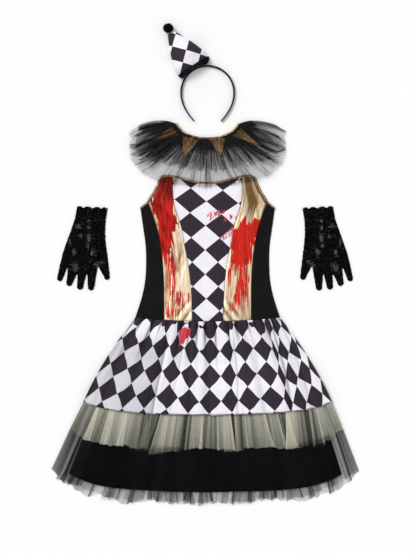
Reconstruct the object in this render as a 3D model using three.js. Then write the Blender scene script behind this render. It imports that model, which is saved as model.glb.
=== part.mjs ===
// A clown dress costume laid out flat, front side up: a sleeveless dress with a gathered
// three-tier skirt, a net neck ruff with four foil points, a headband with a small cone hat,
// and a pair of short lace gloves.
// Millimetres. X runs to the viewer's right, Y towards the head, and Z up from the surface.
// The origin is the middle of the whole layout, on the surface that it lies on.
import * as THREE from "three";

// Cloth thicknesses and the clearances between pieces.
const CLOTH = 1.2;
const NET = 1.0;
const PLY_GAP = 0.4;
const SEAM = 0.3;
const BINDING_WIDTH = 5;
const BINDING_RISE = 0.6;

// Half widths of the bodice at each height: the centre panel's seam, the foil panel's outer
// edge, which is the armhole down to the underarm and a seam below it, and the side seam.
const UNDERARM_Y = 164;
const bodiceCut = [
  { y: 236, centre: 88, foil: 124.5, side: 176 },
  { y: 210, centre: 90, foil: 131.3, side: 176 },
  { y: 191, centre: 90, foil: 139.1, side: 176 },
  { y: 164, centre: 88, foil: 154.6, side: 175.5 },
  { y: 140, centre: 82, foil: 146.9, side: 173.7 },
  { y: 95, centre: 68, foil: 131.6, side: 167.4 },
  { y: 49, centre: 59.5, foil: 121.9, side: 161.2 },
  { y: 4, centre: 50.5, foil: 116.7, side: 159.9 },
  { y: -42, centre: 45, foil: 113.6, side: 162.5 },
  { y: -87, centre: 41.6, foil: 113.1, side: 171.6 },
  { y: -139, centre: 40, foil: 113.1, side: 188 },
  { y: -150, centre: 40, foil: 113.1, side: 190 },
];
const SHOULDER_ROWS = [210, 191, 178];
const BODICE_ROWS = [164, 159, 140, 118, 95, 60, 25, -10, -45, -80, -110, -130];
const BACK_ROWS = [164, 140, 95, 49, 4, -42, -87, -125];

// The top edge of the front, from the centre front out to the armhole corner.
const neckline = [
  { x: 0, y: 215 },
  { x: 28, y: 216.5 },
  { x: 54, y: 223 },
  { x: 80, y: 230 },
  { x: 98, y: 233.5 },
  { x: 112, y: 233 },
  { x: 126, y: 227.5 },
];
const SIDE_TOP = { innerY: 164, outerX: 175.4, outerY: 148.3 };
const BACK_NECK_Y = 205;
const BACK_ARMHOLE_SHOWS = 1.5;
const BODICE_LOFT = 3;
const WAIST = { halfWidth: 188, centreY: -147.6, sideRise: 10 };

// The skirt's five edges from the waist down: half width, how far it lies off centre, height
// at the centre, and how much the ends rise, gently (square) and at the corner (sixth power).
const skirtEdges = [
  { name: "waist", half: 188, shift: 0, centre: -148, gentle: 10, corner: 0 },
  { name: "check hem", half: 322.6, shift: 0, centre: -389.5, gentle: 15, corner: 18 },
  { name: "cream hem", half: 352.5, shift: -2.8, centre: -478, gentle: 14, corner: 42 },
  { name: "lining hem", half: 392, shift: -6.4, centre: -591, gentle: 18, corner: 57 },
  { name: "black net hem", half: 401, shift: -7.5, centre: -617, gentle: 28, corner: 53 },
];
const SKIRT_BULGE = 10;
const TIER_SEAM = 0.72;
const LIFT_START = 0.45;
const CREAM_END = 2.1;
const EDGE_FADE = 0.7;
const LINING_SIDE = 0.905;

// The skirt's plies from the surface up. Each runs from one edge level to another, ripples by
// a height, and has a number of folds across; jag is how far its hem wanders, in levels.
const skirtPlies = [
  {
    name: "skirt_check_back", from: 0, to: 1, thick: CLOTH, ripple: 1.4,
    folds: 8, jag: 0, columns: 32, rows: [0, 0.33, 0.66, 1], material: "check",
  },
  {
    name: "skirt_cream_back", from: TIER_SEAM, to: 2, thick: NET, ripple: 1.6,
    folds: 12, jag: 0.08, columns: 38, rows: [TIER_SEAM, 1, 1.55, 2], material: "cream",
  },
  {
    name: "skirt_net_back", from: TIER_SEAM, to: 4.24, thick: NET, ripple: 1.6,
    folds: 11, jag: 0.14, columns: 36, rows: [TIER_SEAM, 1, CREAM_END, 3, 4.24], material: "net",
  },
  {
    name: "skirt_lining_back", from: 0, to: 3, thick: CLOTH, ripple: 0,
    folds: 0, jag: 0, columns: 12, material: "lining",
    rows: [0, LIFT_START, TIER_SEAM, 1, CREAM_END, 3],
  },
  {
    name: "skirt_lining_front", from: 0, to: 3, thick: CLOTH, ripple: 1.6,
    folds: 5, jag: 0, columns: 22, material: "lining",
    rows: [0, LIFT_START, TIER_SEAM, 1, CREAM_END, 3],
  },
  {
    name: "skirt_net_front", from: TIER_SEAM, to: 4, thick: NET, ripple: 2.4,
    folds: 15, jag: 0.2, columns: 54, rows: [TIER_SEAM, 1, CREAM_END, 3, 4], material: "net",
  },
  {
    name: "skirt_cream_front", from: TIER_SEAM, to: 2, thick: NET, ripple: 3.4,
    folds: 21, jag: 0.1, columns: 68, rows: [TIER_SEAM, 1, 1.55, 2], material: "cream",
  },
  {
    name: "skirt_check_front", from: 0, to: 1, thick: CLOTH, ripple: 5.6,
    folds: 0, jag: 0, columns: 66, material: "check",
    rows: [0, 0.06, 0.15, 0.3, LIFT_START, TIER_SEAM, 0.86, 1],
  },
];

// The check skirt's long creases: where each crosses the waist and the hem, from -1 at the
// left side seam to 1 at the right, its depth, its width, and the level where it starts.
const creases = [
  { waist: -0.93, hem: -0.86, depth: 2.2, width: 0.05, start: 0.1 },
  { waist: -0.72, hem: -0.69, depth: 1.6, width: 0.06, start: 0 },
  { waist: -0.49, hem: -0.44, depth: 4.6, width: 0.05, start: 0 },
  { waist: -0.25, hem: -0.15, depth: 3.2, width: 0.045, start: 0.05 },
  { waist: -0.04, hem: 0.02, depth: 1.8, width: 0.05, start: 0 },
  { waist: 0.33, hem: 0.2, depth: 3.4, width: 0.045, start: 0.05 },
  { waist: 0.55, hem: 0.46, depth: 1.8, width: 0.05, start: 0 },
  { waist: 0.79, hem: 0.69, depth: 5.2, width: 0.05, start: 0 },
  { waist: 0.95, hem: 0.84, depth: 3.2, width: 0.045, start: 0 },
];
const GATHERS = { folds: 19, depth: 2.6, fadesBy: 0.36 };

// The ruff's half outline, from the shoulder fold (at 0) to the centre front (at 1): the neck
// edge, the short ply's hem and the long ply's hem.
const ruffCut = [
  { at: 0, neckX: 79.2, neckY: 367.5, shortX: 176, shortY: 349, longX: 206, longY: 347.5 },
  { at: 0.15, neckX: 71.5, neckY: 357, shortX: 185, shortY: 308, longX: 204, longY: 306 },
  { at: 0.3, neckX: 61.5, neckY: 347, shortX: 171, shortY: 279, longX: 200, longY: 274 },
  { at: 0.45, neckX: 49, neckY: 339.8, shortX: 136, shortY: 267, longX: 174, longY: 239 },
  { at: 0.6, neckX: 35.5, neckY: 334.6, shortX: 99, shortY: 258, longX: 133, longY: 215 },
  { at: 0.8, neckX: 17.5, neckY: 331.4, shortX: 47, shortY: 247, longX: 65, longY: 203 },
  { at: 1, neckX: 0, neckY: 330.4, shortX: 0, shortY: 244, longX: 0, longY: 200 },
];
const RUFF_FOLD_BULGE = 17;
const BAND = { width: 5, thick: 3 };
const RUFF_BREAKS = [-1, -0.85, -0.7, -0.55, 0.55, 0.7, 0.85, 1];
const RUFF_LIFT = 2.8;
const SWELL_BY = 0.5;
const ruffPlies = [
  { name: "ruff_short_back", start: 0, ripple: 1.6, folds: 9, columns: 34, rows: [0, 0.5, 1] },
  { name: "ruff_long_back", start: 1.4, ripple: 1.6, folds: 9, columns: 34, rows: [0, 0.5, 1, 1.5, 2] },
  { name: "ruff_long_front", start: 3.4, ripple: 2.8, folds: 15, columns: 54, rows: [0, 0.5, 1, 1.5, 2] },
  { name: "ruff_short_front", start: 6.2, ripple: 4, folds: 19, columns: 66, rows: [0, 0.5, 1] },
];
const RUFF_JAG = 0.05;
// The foil points between the ruff's front plies: neck positions, tip position and reach.
const ruffPoints = [
  { name: "ruff_point_outer_left", side: -1, from: 0.08, to: 0.34, tip: 0.21, reach: 0.64 },
  { name: "ruff_point_inner_left", side: -1, from: 0.4, to: 0.78, tip: 0.68, reach: 0.76 },
  { name: "ruff_point_inner_right", side: 1, from: 0.5, to: 0.96, tip: 0.8, reach: 0.68 },
  { name: "ruff_point_outer_right", side: 1, from: 0.08, to: 0.36, tip: 0.28, reach: 0.66 },
];
const POINT_START = 4.8;

// The headband's half outline from its centre, from the crown down to a tip, and its section.
const HEADBAND = { x: 0, y: 447.3, radius: 68.7, thick: 4.8, tipThick: 3.2, height: 9 };
const headbandTail = [
  { x: 67.8, y: -15 },
  { x: 61.5, y: -36 },
  { x: 49.5, y: -57 },
  { x: 34.5, y: -75.5 },
];

// The hat lies on its side. Rings run from the point to the mouth: distance along the axis,
// half width and height.
const HAT = { tipX: -100, tipY: 609, towardsX: 0.543, towardsY: -0.84 };
const hatRings = [
  { along: 8.7, halfWidth: 9.6, height: 13.2 },
  { along: 26, halfWidth: 18.5, height: 21 },
  { along: 50, halfWidth: 29, height: 31 },
  { along: 80, halfWidth: 40.5, height: 40 },
  { along: 100, halfWidth: 46, height: 43 },
  { along: 112, halfWidth: 46.5, height: 40 },
];
const HAT_BASE = { depth: 12, halfWidth: 47, shift: 2, mouthHeight: 30, bandHeight: 10, edge: 4 };
const POMPOM = { x: -102, y: 613.2, radius: 13.8, squash: 0.92 };

// One glove, drawn with its wrist edge at the origin and its fingers pointing down. The palm's
// edges, and each finger from the outer side to the thumb: its tip, tip radius, and the fork
// that follows it.
const GLOVE = { leftX: -305, rightX: 291.5, y: 117, tilt: -0.05 };
const palmEdge = [
  { y: 0, outer: -40, thumb: 40 },
  { y: -32, outer: -49, thumb: 39.8 },
  { y: -62, outer: -58.5, thumb: 43.5 },
  { y: -90, outer: -66.5, thumb: 48.7 },
  { y: -120, outer: -72.5, thumb: 54 },
];
const fingers = [
  { name: "little", tipX: -71.2, tipY: -164.2, radius: 7.4, forkX: -52.9, forkY: -130.2 },
  { name: "ring", tipX: -45.9, tipY: -175.4, radius: 8, forkX: -26.8, forkY: -145.5 },
  { name: "middle", tipX: -17.7, tipY: -183.4, radius: 8.2, forkX: -2.1, forkY: -143.6 },
  { name: "index", tipX: 10.8, tipY: -184, radius: 8.2, forkX: 26.8, forkY: -122.8 },
  { name: "thumb", tipX: 51, tipY: -154.4, radius: 7.4, forkX: 0, forkY: 0 },
];
const GLOVE_WALL = { thick: 0.8, bevel: 0.5 };
const FRILL = {
  length: 31, halfWidth: 40, flare: -1.5, drift: 3, height: 3, ripple: 0.9, waves: 9, steps: 36,
};

const colours = {
  check: { color: "#c9c6cc", roughness: 0.6 },
  foil: { color: "#c8a468", roughness: 0.35, metalness: 0.5 },
  jersey: { color: "#17181a", roughness: 0.9 },
  lining: { color: "#0d0d0f", roughness: 0.8 },
  cream: { color: "#b3b195", roughness: 0.8 },
  net: { color: "#3a393d", roughness: 0.9 },
  plastic: { color: "#101012", roughness: 0.5 },
  pile: { color: "#0b0b0c", roughness: 1 },
  lace: { color: "#121214", roughness: 0.85 },
};
const materials = {};
for (const [name, finish] of Object.entries(colours)) {
  materials[name] = new THREE.MeshStandardMaterial(finish);
}

// Sizes are taken from the dress's centre front, and the layout reaches further to the left of
// it than to the right, so the whole is moved to bring its middle to the origin.
const CENTRE_FRONT_X = 7.575;

const costume = new THREE.Group();
costume.position.x = CENTRE_FRONT_X;

function add(name, geometry, material) {
  const mesh = new THREE.Mesh(geometry, materials[material]);
  mesh.name = name;
  costume.add(mesh);
  return mesh;
}

const clamp = THREE.MathUtils.clamp;
const lerp = THREE.MathUtils.lerp;
const ramp = (value, from, to) => clamp((value - from) / (to - from), 0, 1);

// Reads a column of a table at a key, on a smooth curve through the rows.
function smoothColumn(table, key, column, at) {
  const falling = table[0][key] > table[table.length - 1][key];
  const rows = falling ? [...table].reverse() : table;
  const place = clamp(at, rows[0][key], rows[rows.length - 1][key]);
  let i = rows.findIndex((row) => row[key] >= place) - 1;
  i = clamp(i, 0, rows.length - 2);
  const near = rows[i];
  const far = rows[i + 1];
  const before = rows[Math.max(0, i - 1)];
  const after = rows[Math.min(rows.length - 1, i + 2)];
  const span = far[key] - near[key];
  const t = (place - near[key]) / span;
  const leaving = ((far[column] - before[column]) / (far[key] - before[key])) * span;
  const arriving = ((after[column] - near[column]) / (after[key] - near[key])) * span;
  const t2 = t * t;
  const t3 = t2 * t;
  return (
    (2 * t3 - 3 * t2 + 1) * near[column] +
    (t3 - 2 * t2 + t) * leaving +
    (3 * t2 - 2 * t3) * far[column] +
    (t3 - t2) * arriving
  );
}

// Splits the stretches between breaks evenly, with about the given number of columns in all.
function spread(breaks, count) {
  const whole = breaks[breaks.length - 1] - breaks[0];
  const places = [breaks[0]];
  for (let i = 1; i < breaks.length; i++) {
    const span = breaks[i] - breaks[i - 1];
    const steps = Math.max(1, Math.round(((count - 1) * span) / whole));
    for (let k = 1; k <= steps; k++) {
      places.push(breaks[i - 1] + (span * k) / steps);
    }
  }
  return places;
}

// A closed wall between two surfaces over a grid. Each surface gives a point for a column and
// a row; columns run to +X and rows run to -Y as seen from above.
function wall(columns, rows, upper, lower) {
  const points = [];
  for (const surface of [upper, lower]) {
    for (const row of rows) {
      for (const column of columns) {
        points.push(...surface(column, row));
      }
    }
  }
  const wide = columns.length;
  const tall = rows.length;
  const index = (layer, row, column) => layer * wide * tall + row * wide + column;
  const faces = [];
  const quad = (a, b, c, d) => faces.push(a, b, c, a, c, d);
  for (let r = 0; r < tall - 1; r++) {
    for (let c = 0; c < wide - 1; c++) {
      quad(index(0, r, c), index(0, r + 1, c), index(0, r + 1, c + 1), index(0, r, c + 1));
      quad(index(1, r, c), index(1, r, c + 1), index(1, r + 1, c + 1), index(1, r + 1, c));
    }
  }
  for (let c = 0; c < wide - 1; c++) {
    quad(index(0, 0, c), index(0, 0, c + 1), index(1, 0, c + 1), index(1, 0, c));
    const last = tall - 1;
    quad(index(1, last, c), index(1, last, c + 1), index(0, last, c + 1), index(0, last, c));
  }
  for (let r = 0; r < tall - 1; r++) {
    quad(index(1, r, 0), index(1, r + 1, 0), index(0, r + 1, 0), index(0, r, 0));
    const last = wide - 1;
    quad(index(0, r, last), index(0, r + 1, last), index(1, r + 1, last), index(1, r, last));
  }
  const geometry = new THREE.BufferGeometry();
  geometry.setAttribute("position", new THREE.Float32BufferAttribute(points, 3));
  geometry.setIndex(faces);
  return geometry;
}

// A wall of even thickness: a function gives the lower surface's point.
function sheet(columns, rows, lower, thick) {
  const upper = (column, row) => {
    const [x, y, z] = lower(column, row);
    return [x, y, z + thick];
  };
  return wall(columns, rows, upper, lower);
}

// A ply whose folds rise by a relief: a front ply is folded through its thickness, and a back
// ply, which is pressed on the surface, keeps a flat underside.
function pleated(columns, rows, rest, relief, thick, pressed) {
  const shift = (amount) => (column, row) => {
    const [x, y, z] = rest(column, row);
    return [x, y, z + amount(column, row)];
  };
  const lower = pressed ? rest : shift(relief);
  return wall(columns, rows, shift((column, row) => relief(column, row) + thick), lower);
}

const waistY = (x) => WAIST.centreY + WAIST.sideRise * (x / WAIST.halfWidth) ** 2;
const cutAt = (column, y) => smoothColumn(bodiceCut, "y", column, y);
const necklineY = (x) => smoothColumn(neckline, "x", "y", Math.abs(x));

// The height of the front's underside: it rests on the back at the side seams, rises a little
// over the trapped air, and at the waist meets the skirt's waist seam.
function frontZ(x, y) {
  const side = cutAt("side", Math.min(y, UNDERARM_Y));
  const across = 1 - Math.min(1, Math.abs(x) / side) ** 2;
  const length = ramp(y, 240, 120) * 0.6 + 0.4;
  const dome = BODICE_LOFT * across * length;
  const atWaist = 2 * (CLOTH + PLY_GAP);
  const sag = 0.5 * Math.sin(y / 17 + x / 26) * across;
  const loft = lerp(dome + Math.max(0, sag), atWaist, ramp(y, -95, waistY(x)));
  return CLOTH + PLY_GAP + loft;
}

// A front panel between two edges that are given by height. Its top row follows a top edge,
// and its last row the waist.
function frontPanel(name, across, innerEdge, outerEdge, topEdge, rows, material) {
  const point = (u, row) => {
    const guess = lerp(innerEdge(row), outerEdge(row), u);
    let y = row;
    if (row === rows[0]) y = topEdge(guess);
    if (row === rows[rows.length - 1]) y = waistY(guess);
    const x = lerp(innerEdge(y), outerEdge(y), u);
    return [x, y, frontZ(x, y)];
  };
  add(name, sheet(spread([0, 1], across), rows, point, CLOTH), material);
}

function addBodice() {
  const boundTop = (x) => necklineY(x) - BINDING_WIDTH - 3 * SEAM;
  const seam = SEAM / 2;
  const topRow = 230;
  const waistRow = -150;
  const foilRows = [topRow, ...SHOULDER_ROWS, ...BODICE_ROWS, waistRow];
  const centreRows = [topRow, 196, 180, ...BODICE_ROWS, waistRow];
  const centre = (y) => cutAt("centre", y);
  const foilOuter = (y) =>
    cutAt("foil", y) - lerp(seam, BINDING_WIDTH - 1 + 2 * SEAM, ramp(y, 159, UNDERARM_Y));
  const side = (y) => cutAt("side", y);
  frontPanel(
    "bodice_front_centre", 11,
    (y) => seam - centre(y), (y) => centre(y) - seam, boundTop, centreRows, "check",
  );
  const sideRows = [155, ...BODICE_ROWS.filter((y) => y <= 140), waistRow];
  const sideTopY = (x) => {
    const inner = cutAt("foil", SIDE_TOP.innerY);
    const share = ramp(Math.abs(x), inner, SIDE_TOP.outerX);
    return lerp(SIDE_TOP.innerY, SIDE_TOP.outerY, share);
  };
  for (const [where, way] of [["left", -1], ["right", 1]]) {
    const pair = (inner, outer) => (way < 0 ? [(y) => -outer(y), (y) => -inner(y)] : [inner, outer]);
    frontPanel(
      "bodice_front_foil_" + where, 7,
      ...pair((y) => centre(y) + seam, foilOuter), boundTop, foilRows, "foil",
    );
    frontPanel(
      "bodice_front_side_" + where, 5,
      ...pair((y) => cutAt("foil", y) + seam, side),
      (x) => sideTopY(x) - BINDING_WIDTH - SEAM, sideRows, "jersey",
    );
    // The armhole binding's upper stretch, down the foil panel's edge.
    const armRows = [222, ...SHOULDER_ROWS, UNDERARM_Y + SEAM];
    const armPoint = (u, y) => {
      const edge = cutAt("foil", y);
      const x = way * (way < 0 ? edge - u * (BINDING_WIDTH - 1) : edge - (1 - u) * (BINDING_WIDTH - 1));
      return [x, y, frontZ(x, y)];
    };
    add(
      "armhole_binding_" + where,
      sheet([0, 1], armRows, armPoint, CLOTH + BINDING_RISE), "foil",
    );
    // Its lower stretch, across the top of the side panel.
    const inner = cutAt("foil", SIDE_TOP.innerY) + seam;
    const underPoint = (u, row) => {
      const share = way < 0 ? 1 - u : u;
      const x = way * lerp(inner, SIDE_TOP.outerX, share);
      const y = sideTopY(x) - row * BINDING_WIDTH;
      return [x, y, frontZ(x, y)];
    };
    add(
      "underarm_binding_" + where,
      sheet([0, 0.5, 1], [0, 1], underPoint, CLOTH + BINDING_RISE), "foil",
    );
  }
  const bindHalf = 125;
  const bindPoint = (x, row) => {
    const y = necklineY(x) - row * BINDING_WIDTH;
    return [x, y, frontZ(x, y)];
  };
  add(
    "neck_binding",
    sheet(spread([-bindHalf, bindHalf], 27), [0, 1], bindPoint, CLOTH + BINDING_RISE), "foil",
  );
  addBodiceBack();
}

// The back is one jersey panel with a plain straight top edge. Its armhole is cut a little
// wider than the front's, so a dark edge shows behind it.
function addBodiceBack() {
  const topRow = BACK_NECK_Y;
  const waistRow = -150;
  const rows = [topRow, 185, ...BACK_ROWS, waistRow];
  const half = (y) => {
    const armhole = cutAt("foil", Math.max(y, UNDERARM_Y)) + BACK_ARMHOLE_SHOWS;
    const side = cutAt("side", y);
    return lerp(side, Math.min(armhole, side), ramp(y, SIDE_TOP.outerY, UNDERARM_Y));
  };
  const point = (u, row) => {
    const y = row === waistRow ? waistY(u * WAIST.halfWidth) : row;
    return [u * half(y), y, 0];
  };
  add("bodice_back", sheet(spread([-1, 1], 13), rows, point, CLOTH), "jersey");
}

// A point of the skirt for a place across, from -1 to 1, and a level: 0 is the waist and each
// whole number above it one of the hems.
function skirtPlace(u, level) {
  const step = Math.min(skirtEdges.length - 2, Math.floor(level));
  const share = level - step;
  const edge = (i) => {
    const cut = skirtEdges[i];
    const y = cut.centre + cut.gentle * u ** 2 + cut.corner * u ** 6;
    return [cut.shift + u * cut.half, y];
  };
  const [nearX, nearY] = edge(step);
  const [farX, farY] = edge(step + 1);
  const bulge = step === 0 ? SKIRT_BULGE * 4 * share * (1 - share) * u ** 3 : 0;
  return [lerp(nearX, farX, share) + bulge, lerp(nearY, farY, share)];
}

// How much of a ply's height lies under a level: all of it between its ends, running out
// before it starts and after its hem.
function cover(ply, level) {
  const ends = ply.to + (ply.to === 2 ? CREAM_END - 2 : 0);
  const runsOut = Math.min(4, Math.floor(ends) + 1);
  const starts = ply.from > 0 ? ramp(level, LIFT_START, TIER_SEAM) : 1;
  const stops = ply.to < 4 ? 1 - ramp(level, ends, runsOut === 2 ? CREAM_END : runsOut) : 1;
  return Math.min(starts, stops);
}

// Plies draw together towards the side seams.
const sideFade = (u) => ramp(1 - Math.abs(u), 0, 1 - EDGE_FADE);

function plyRest(order, u, level) {
  let z = 0;
  for (const ply of skirtPlies.slice(0, order)) {
    z += (ply.thick + PLY_GAP + ply.ripple * sideFade(u)) * cover(ply, level);
  }
  return z;
}

// Uneven folds: a wave from 0 to 1 whose spacing drifts across the cloth.
function foldWave(u, folds, drift) {
  const across = (u + 1) / 2;
  const phase = folds * across + 0.22 * Math.sin(6.1 * across * 2 + drift) + drift;
  return 0.5 - 0.5 * Math.cos(2 * Math.PI * phase);
}

// The check skirt's relief, from 0 to its full ripple: gathers at the waist and long creases.
function checkRelief(u, level, ripple) {
  let z = ripple;
  for (const crease of creases) {
    const centre = lerp(crease.waist, crease.hem, level);
    const across = (u - centre) / crease.width;
    const along = ramp(level, crease.start - 0.05, crease.start + 0.2);
    z -= crease.depth * along * Math.exp(-across * across);
  }
  const gather = 1 - ramp(level, 0, GATHERS.fadesBy);
  z -= GATHERS.depth * gather * foldWave(u, GATHERS.folds, 0.3);
  return clamp(z, 0, ripple);
}

function addSkirt() {
  skirtPlies.forEach((ply, order) => {
    const lining = ply.material === "lining";
    const sideLimit = (level) => (lining ? lerp(0.985, LINING_SIDE, ramp(level, 0, 1)) : 1);
    const columns = spread([-1, -EDGE_FADE, EDGE_FADE, 1], ply.columns);
    const hem = ply.rows[ply.rows.length - 1];
    const place = (column, row) => {
      const outer = Math.max(0, Math.abs(column) - EDGE_FADE) / (1 - EDGE_FADE);
      const reach = EDGE_FADE + outer * (sideLimit(row) - EDGE_FADE);
      const u = outer > 0 ? Math.sign(column) * reach : column;
      const wander = Math.sin(u * 31 + order) * Math.sin(u * 13 + 1.3);
      const level = row === hem ? row + ply.jag * wander : row;
      return [u, level];
    };
    const rest = (column, row) => {
      const [u, level] = place(column, row);
      const [x, y] = skirtPlace(u, Math.max(0, level));
      return [x, y, plyRest(order, u, level)];
    };
    const relief = (column, row) => {
      const [u, level] = place(column, row);
      if (ply.name === "skirt_check_front") {
        return checkRelief(u, level, ply.ripple) * sideFade(u);
      }
      const grows = ply.from > 0 ? ramp(level, TIER_SEAM, 1) : ramp(level, 0, 0.4);
      return ply.ripple * grows * foldWave(u, ply.folds, order * 0.37) * sideFade(u);
    };
    const pressed = ply.name.endsWith("back");
    add(ply.name, pleated(columns, ply.rows, rest, relief, ply.thick, pressed), ply.material);
  });
}

// A point of the ruff for a place from -1 to 1 between the shoulder folds, and a level: 0 at
// the band, 1 at the short hem and 2 at the long hem.
function ruffPlace(s, level) {
  const at = 1 - Math.abs(s);
  const way = Math.sign(s) || 1;
  const read = (column) => smoothColumn(ruffCut, "at", column, at);
  const neck = [read("neckX"), read("neckY")];
  const short = [read("shortX"), read("shortY")];
  const long = [read("longX"), read("longY")];
  const reach = Math.hypot(short[0] - neck[0], short[1] - neck[1]);
  const first = (BAND.width + SEAM) / reach;
  const from = level <= 1 ? neck : short;
  const to = level <= 1 ? short : long;
  const share = level <= 1 ? lerp(first, 1, level) : level - 1;
  const whole = clamp(level / 2, 0, 1);
  const bulge = RUFF_FOLD_BULGE * ramp(0.25 - at, 0, 0.25) * 6.75 * whole * (1 - whole) ** 2;
  return [way * lerp(from[0], to[0], share), lerp(from[1], to[1], share) + bulge];
}

const ruffFade = (s) => ramp(1 - Math.abs(s), 0, 0.15);
const swell = (level) => Math.min(1, level / SWELL_BY);

// The ruff's lower edge lies over the top of the dress, so it is lifted there.
const ruffLift = (s, level) => RUFF_LIFT * ramp(1 - Math.abs(s), 0.3, 0.45) * ramp(level, SWELL_BY, 1);

function ruffRest(order, s, level) {
  let ripples = 0;
  for (const ply of ruffPlies.slice(0, order)) ripples += ply.ripple;
  return swell(level) * ruffFade(s) * ripples + ruffLift(s, level);
}

function addRuff() {
  ruffPlies.forEach((ply, order) => {
    const hem = ply.rows[ply.rows.length - 1];
    const place = (s, row) => {
      const wander = Math.sin(s * 37 + order * 2) * Math.sin(s * 11 + 0.6);
      return row === hem ? row + RUFF_JAG * (wander - 1) : row;
    };
    const rest = (s, row) => {
      const level = place(s, row);
      const [x, y] = ruffPlace(s, level);
      return [x, y, ply.start + ruffRest(order, s, level)];
    };
    const relief = (s, row) => {
      const level = place(s, row);
      return ply.ripple * swell(level) * ruffFade(s) * foldWave(s, ply.folds, order * 0.41);
    };
    const columns = spread(RUFF_BREAKS, ply.columns);
    const pressed = ply.name.endsWith("back");
    add(ply.name, pleated(columns, ply.rows, rest, relief, NET, pressed), "net");
  });
  addRuffBand("neck_band_back", 0);
  addRuffBand("neck_band_front", BAND.thick + SEAM);
  for (const cut of ruffPoints) addRuffPoint(cut);
}

function addRuffBand(name, base) {
  const point = (s, row) => {
    const at = 1 - Math.abs(s);
    const way = Math.sign(s) || 1;
    const read = (column) => smoothColumn(ruffCut, "at", column, at);
    const out = new THREE.Vector2(read("shortX") - read("neckX"), read("shortY") - read("neckY"));
    out.setLength(row * BAND.width);
    return [way * (read("neckX") + out.x), read("neckY") + out.y, base];
  };
  add(name, sheet(spread([-1, 1], 21), [0, 1], point, BAND.thick), "foil");
}

function addRuffPoint(cut) {
  const rows = [0.05, SWELL_BY, cut.reach];
  const tipHalf = 0.012;
  const point = (u, level) => {
    const share = ramp(level, rows[0], cut.reach) ** 1.25;
    const low = lerp(cut.from, cut.tip - tipHalf, share);
    const high = lerp(cut.to, cut.tip + tipHalf, share);
    const at = cut.side < 0 ? lerp(low, high, u) : lerp(high, low, u);
    const s = cut.side * (1 - at);
    const [x, y] = ruffPlace(s, level);
    return [x, y, POINT_START + ruffRest(3, s, level)];
  };
  add(cut.name, sheet([0, 0.5, 1], rows, point, NET), "foil");
}

// The headband lies on its edge, so its plan shows its thickness.
function addHeadband() {
  const half = [];
  for (let angle = 90; angle > 0; angle -= 18) {
    const turn = THREE.MathUtils.degToRad(angle);
    half.push({ x: HEADBAND.radius * Math.cos(turn), y: HEADBAND.radius * Math.sin(turn) });
  }
  half.push({ x: HEADBAND.radius, y: 0 }, ...headbandTail);
  const left = half.slice(1).reverse().map(({ x, y }) => ({ x: -x, y }));
  const line = new THREE.CatmullRomCurve3(
    [...left, ...half].map(({ x, y }) => new THREE.Vector3(x, y, 0)),
    false, "centripetal",
  );
  const point = (u, row) => {
    const place = line.getPointAt(u);
    const along = line.getTangentAt(u);
    const nearTip = ramp(Math.abs(u - 0.5), 0.25, 0.5);
    const offset = (0.5 - row) * lerp(HEADBAND.thick, HEADBAND.tipThick, nearTip);
    return [
      HEADBAND.x + place.x - along.y * offset,
      HEADBAND.y + place.y + along.x * offset,
      0,
    ];
  };
  add("headband", sheet(spread([0, 1], 41), [0, 1], point, HEADBAND.height), "plastic");
}

// A closed solid through rings of points, each ring given by a function of its turn.
function loft(rings, around) {
  const points = [];
  for (const ring of rings) {
    for (let i = 0; i < around; i++) points.push(...ring((2 * Math.PI * i) / around));
  }
  const faces = [];
  const last = rings.length - 1;
  for (let r = 0; r < last; r++) {
    for (let i = 0; i < around; i++) {
      const j = (i + 1) % around;
      const a = r * around + i;
      const b = r * around + j;
      faces.push(a, a + around, b + around, a, b + around, b);
    }
  }
  for (const [ring, flip] of [[0, false], [last, true]]) {
    const centre = points.length / 3;
    const sum = [0, 0, 0];
    for (let i = 0; i < around; i++) {
      for (let k = 0; k < 3; k++) sum[k] += points[3 * (ring * around + i) + k] / around;
    }
    points.push(...sum);
    for (let i = 0; i < around; i++) {
      const a = ring * around + i;
      const b = ring * around + ((i + 1) % around);
      faces.push(centre, ...(flip ? [b, a] : [a, b]));
    }
  }
  const geometry = new THREE.BufferGeometry();
  geometry.setAttribute("position", new THREE.Float32BufferAttribute(points, 3));
  geometry.setIndex(faces);
  return geometry;
}

function hatPoint(along, across, z) {
  return [
    HAT.tipX + HAT.towardsX * along - HAT.towardsY * across,
    HAT.tipY + HAT.towardsY * along + HAT.towardsX * across,
    z,
  ];
}

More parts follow.
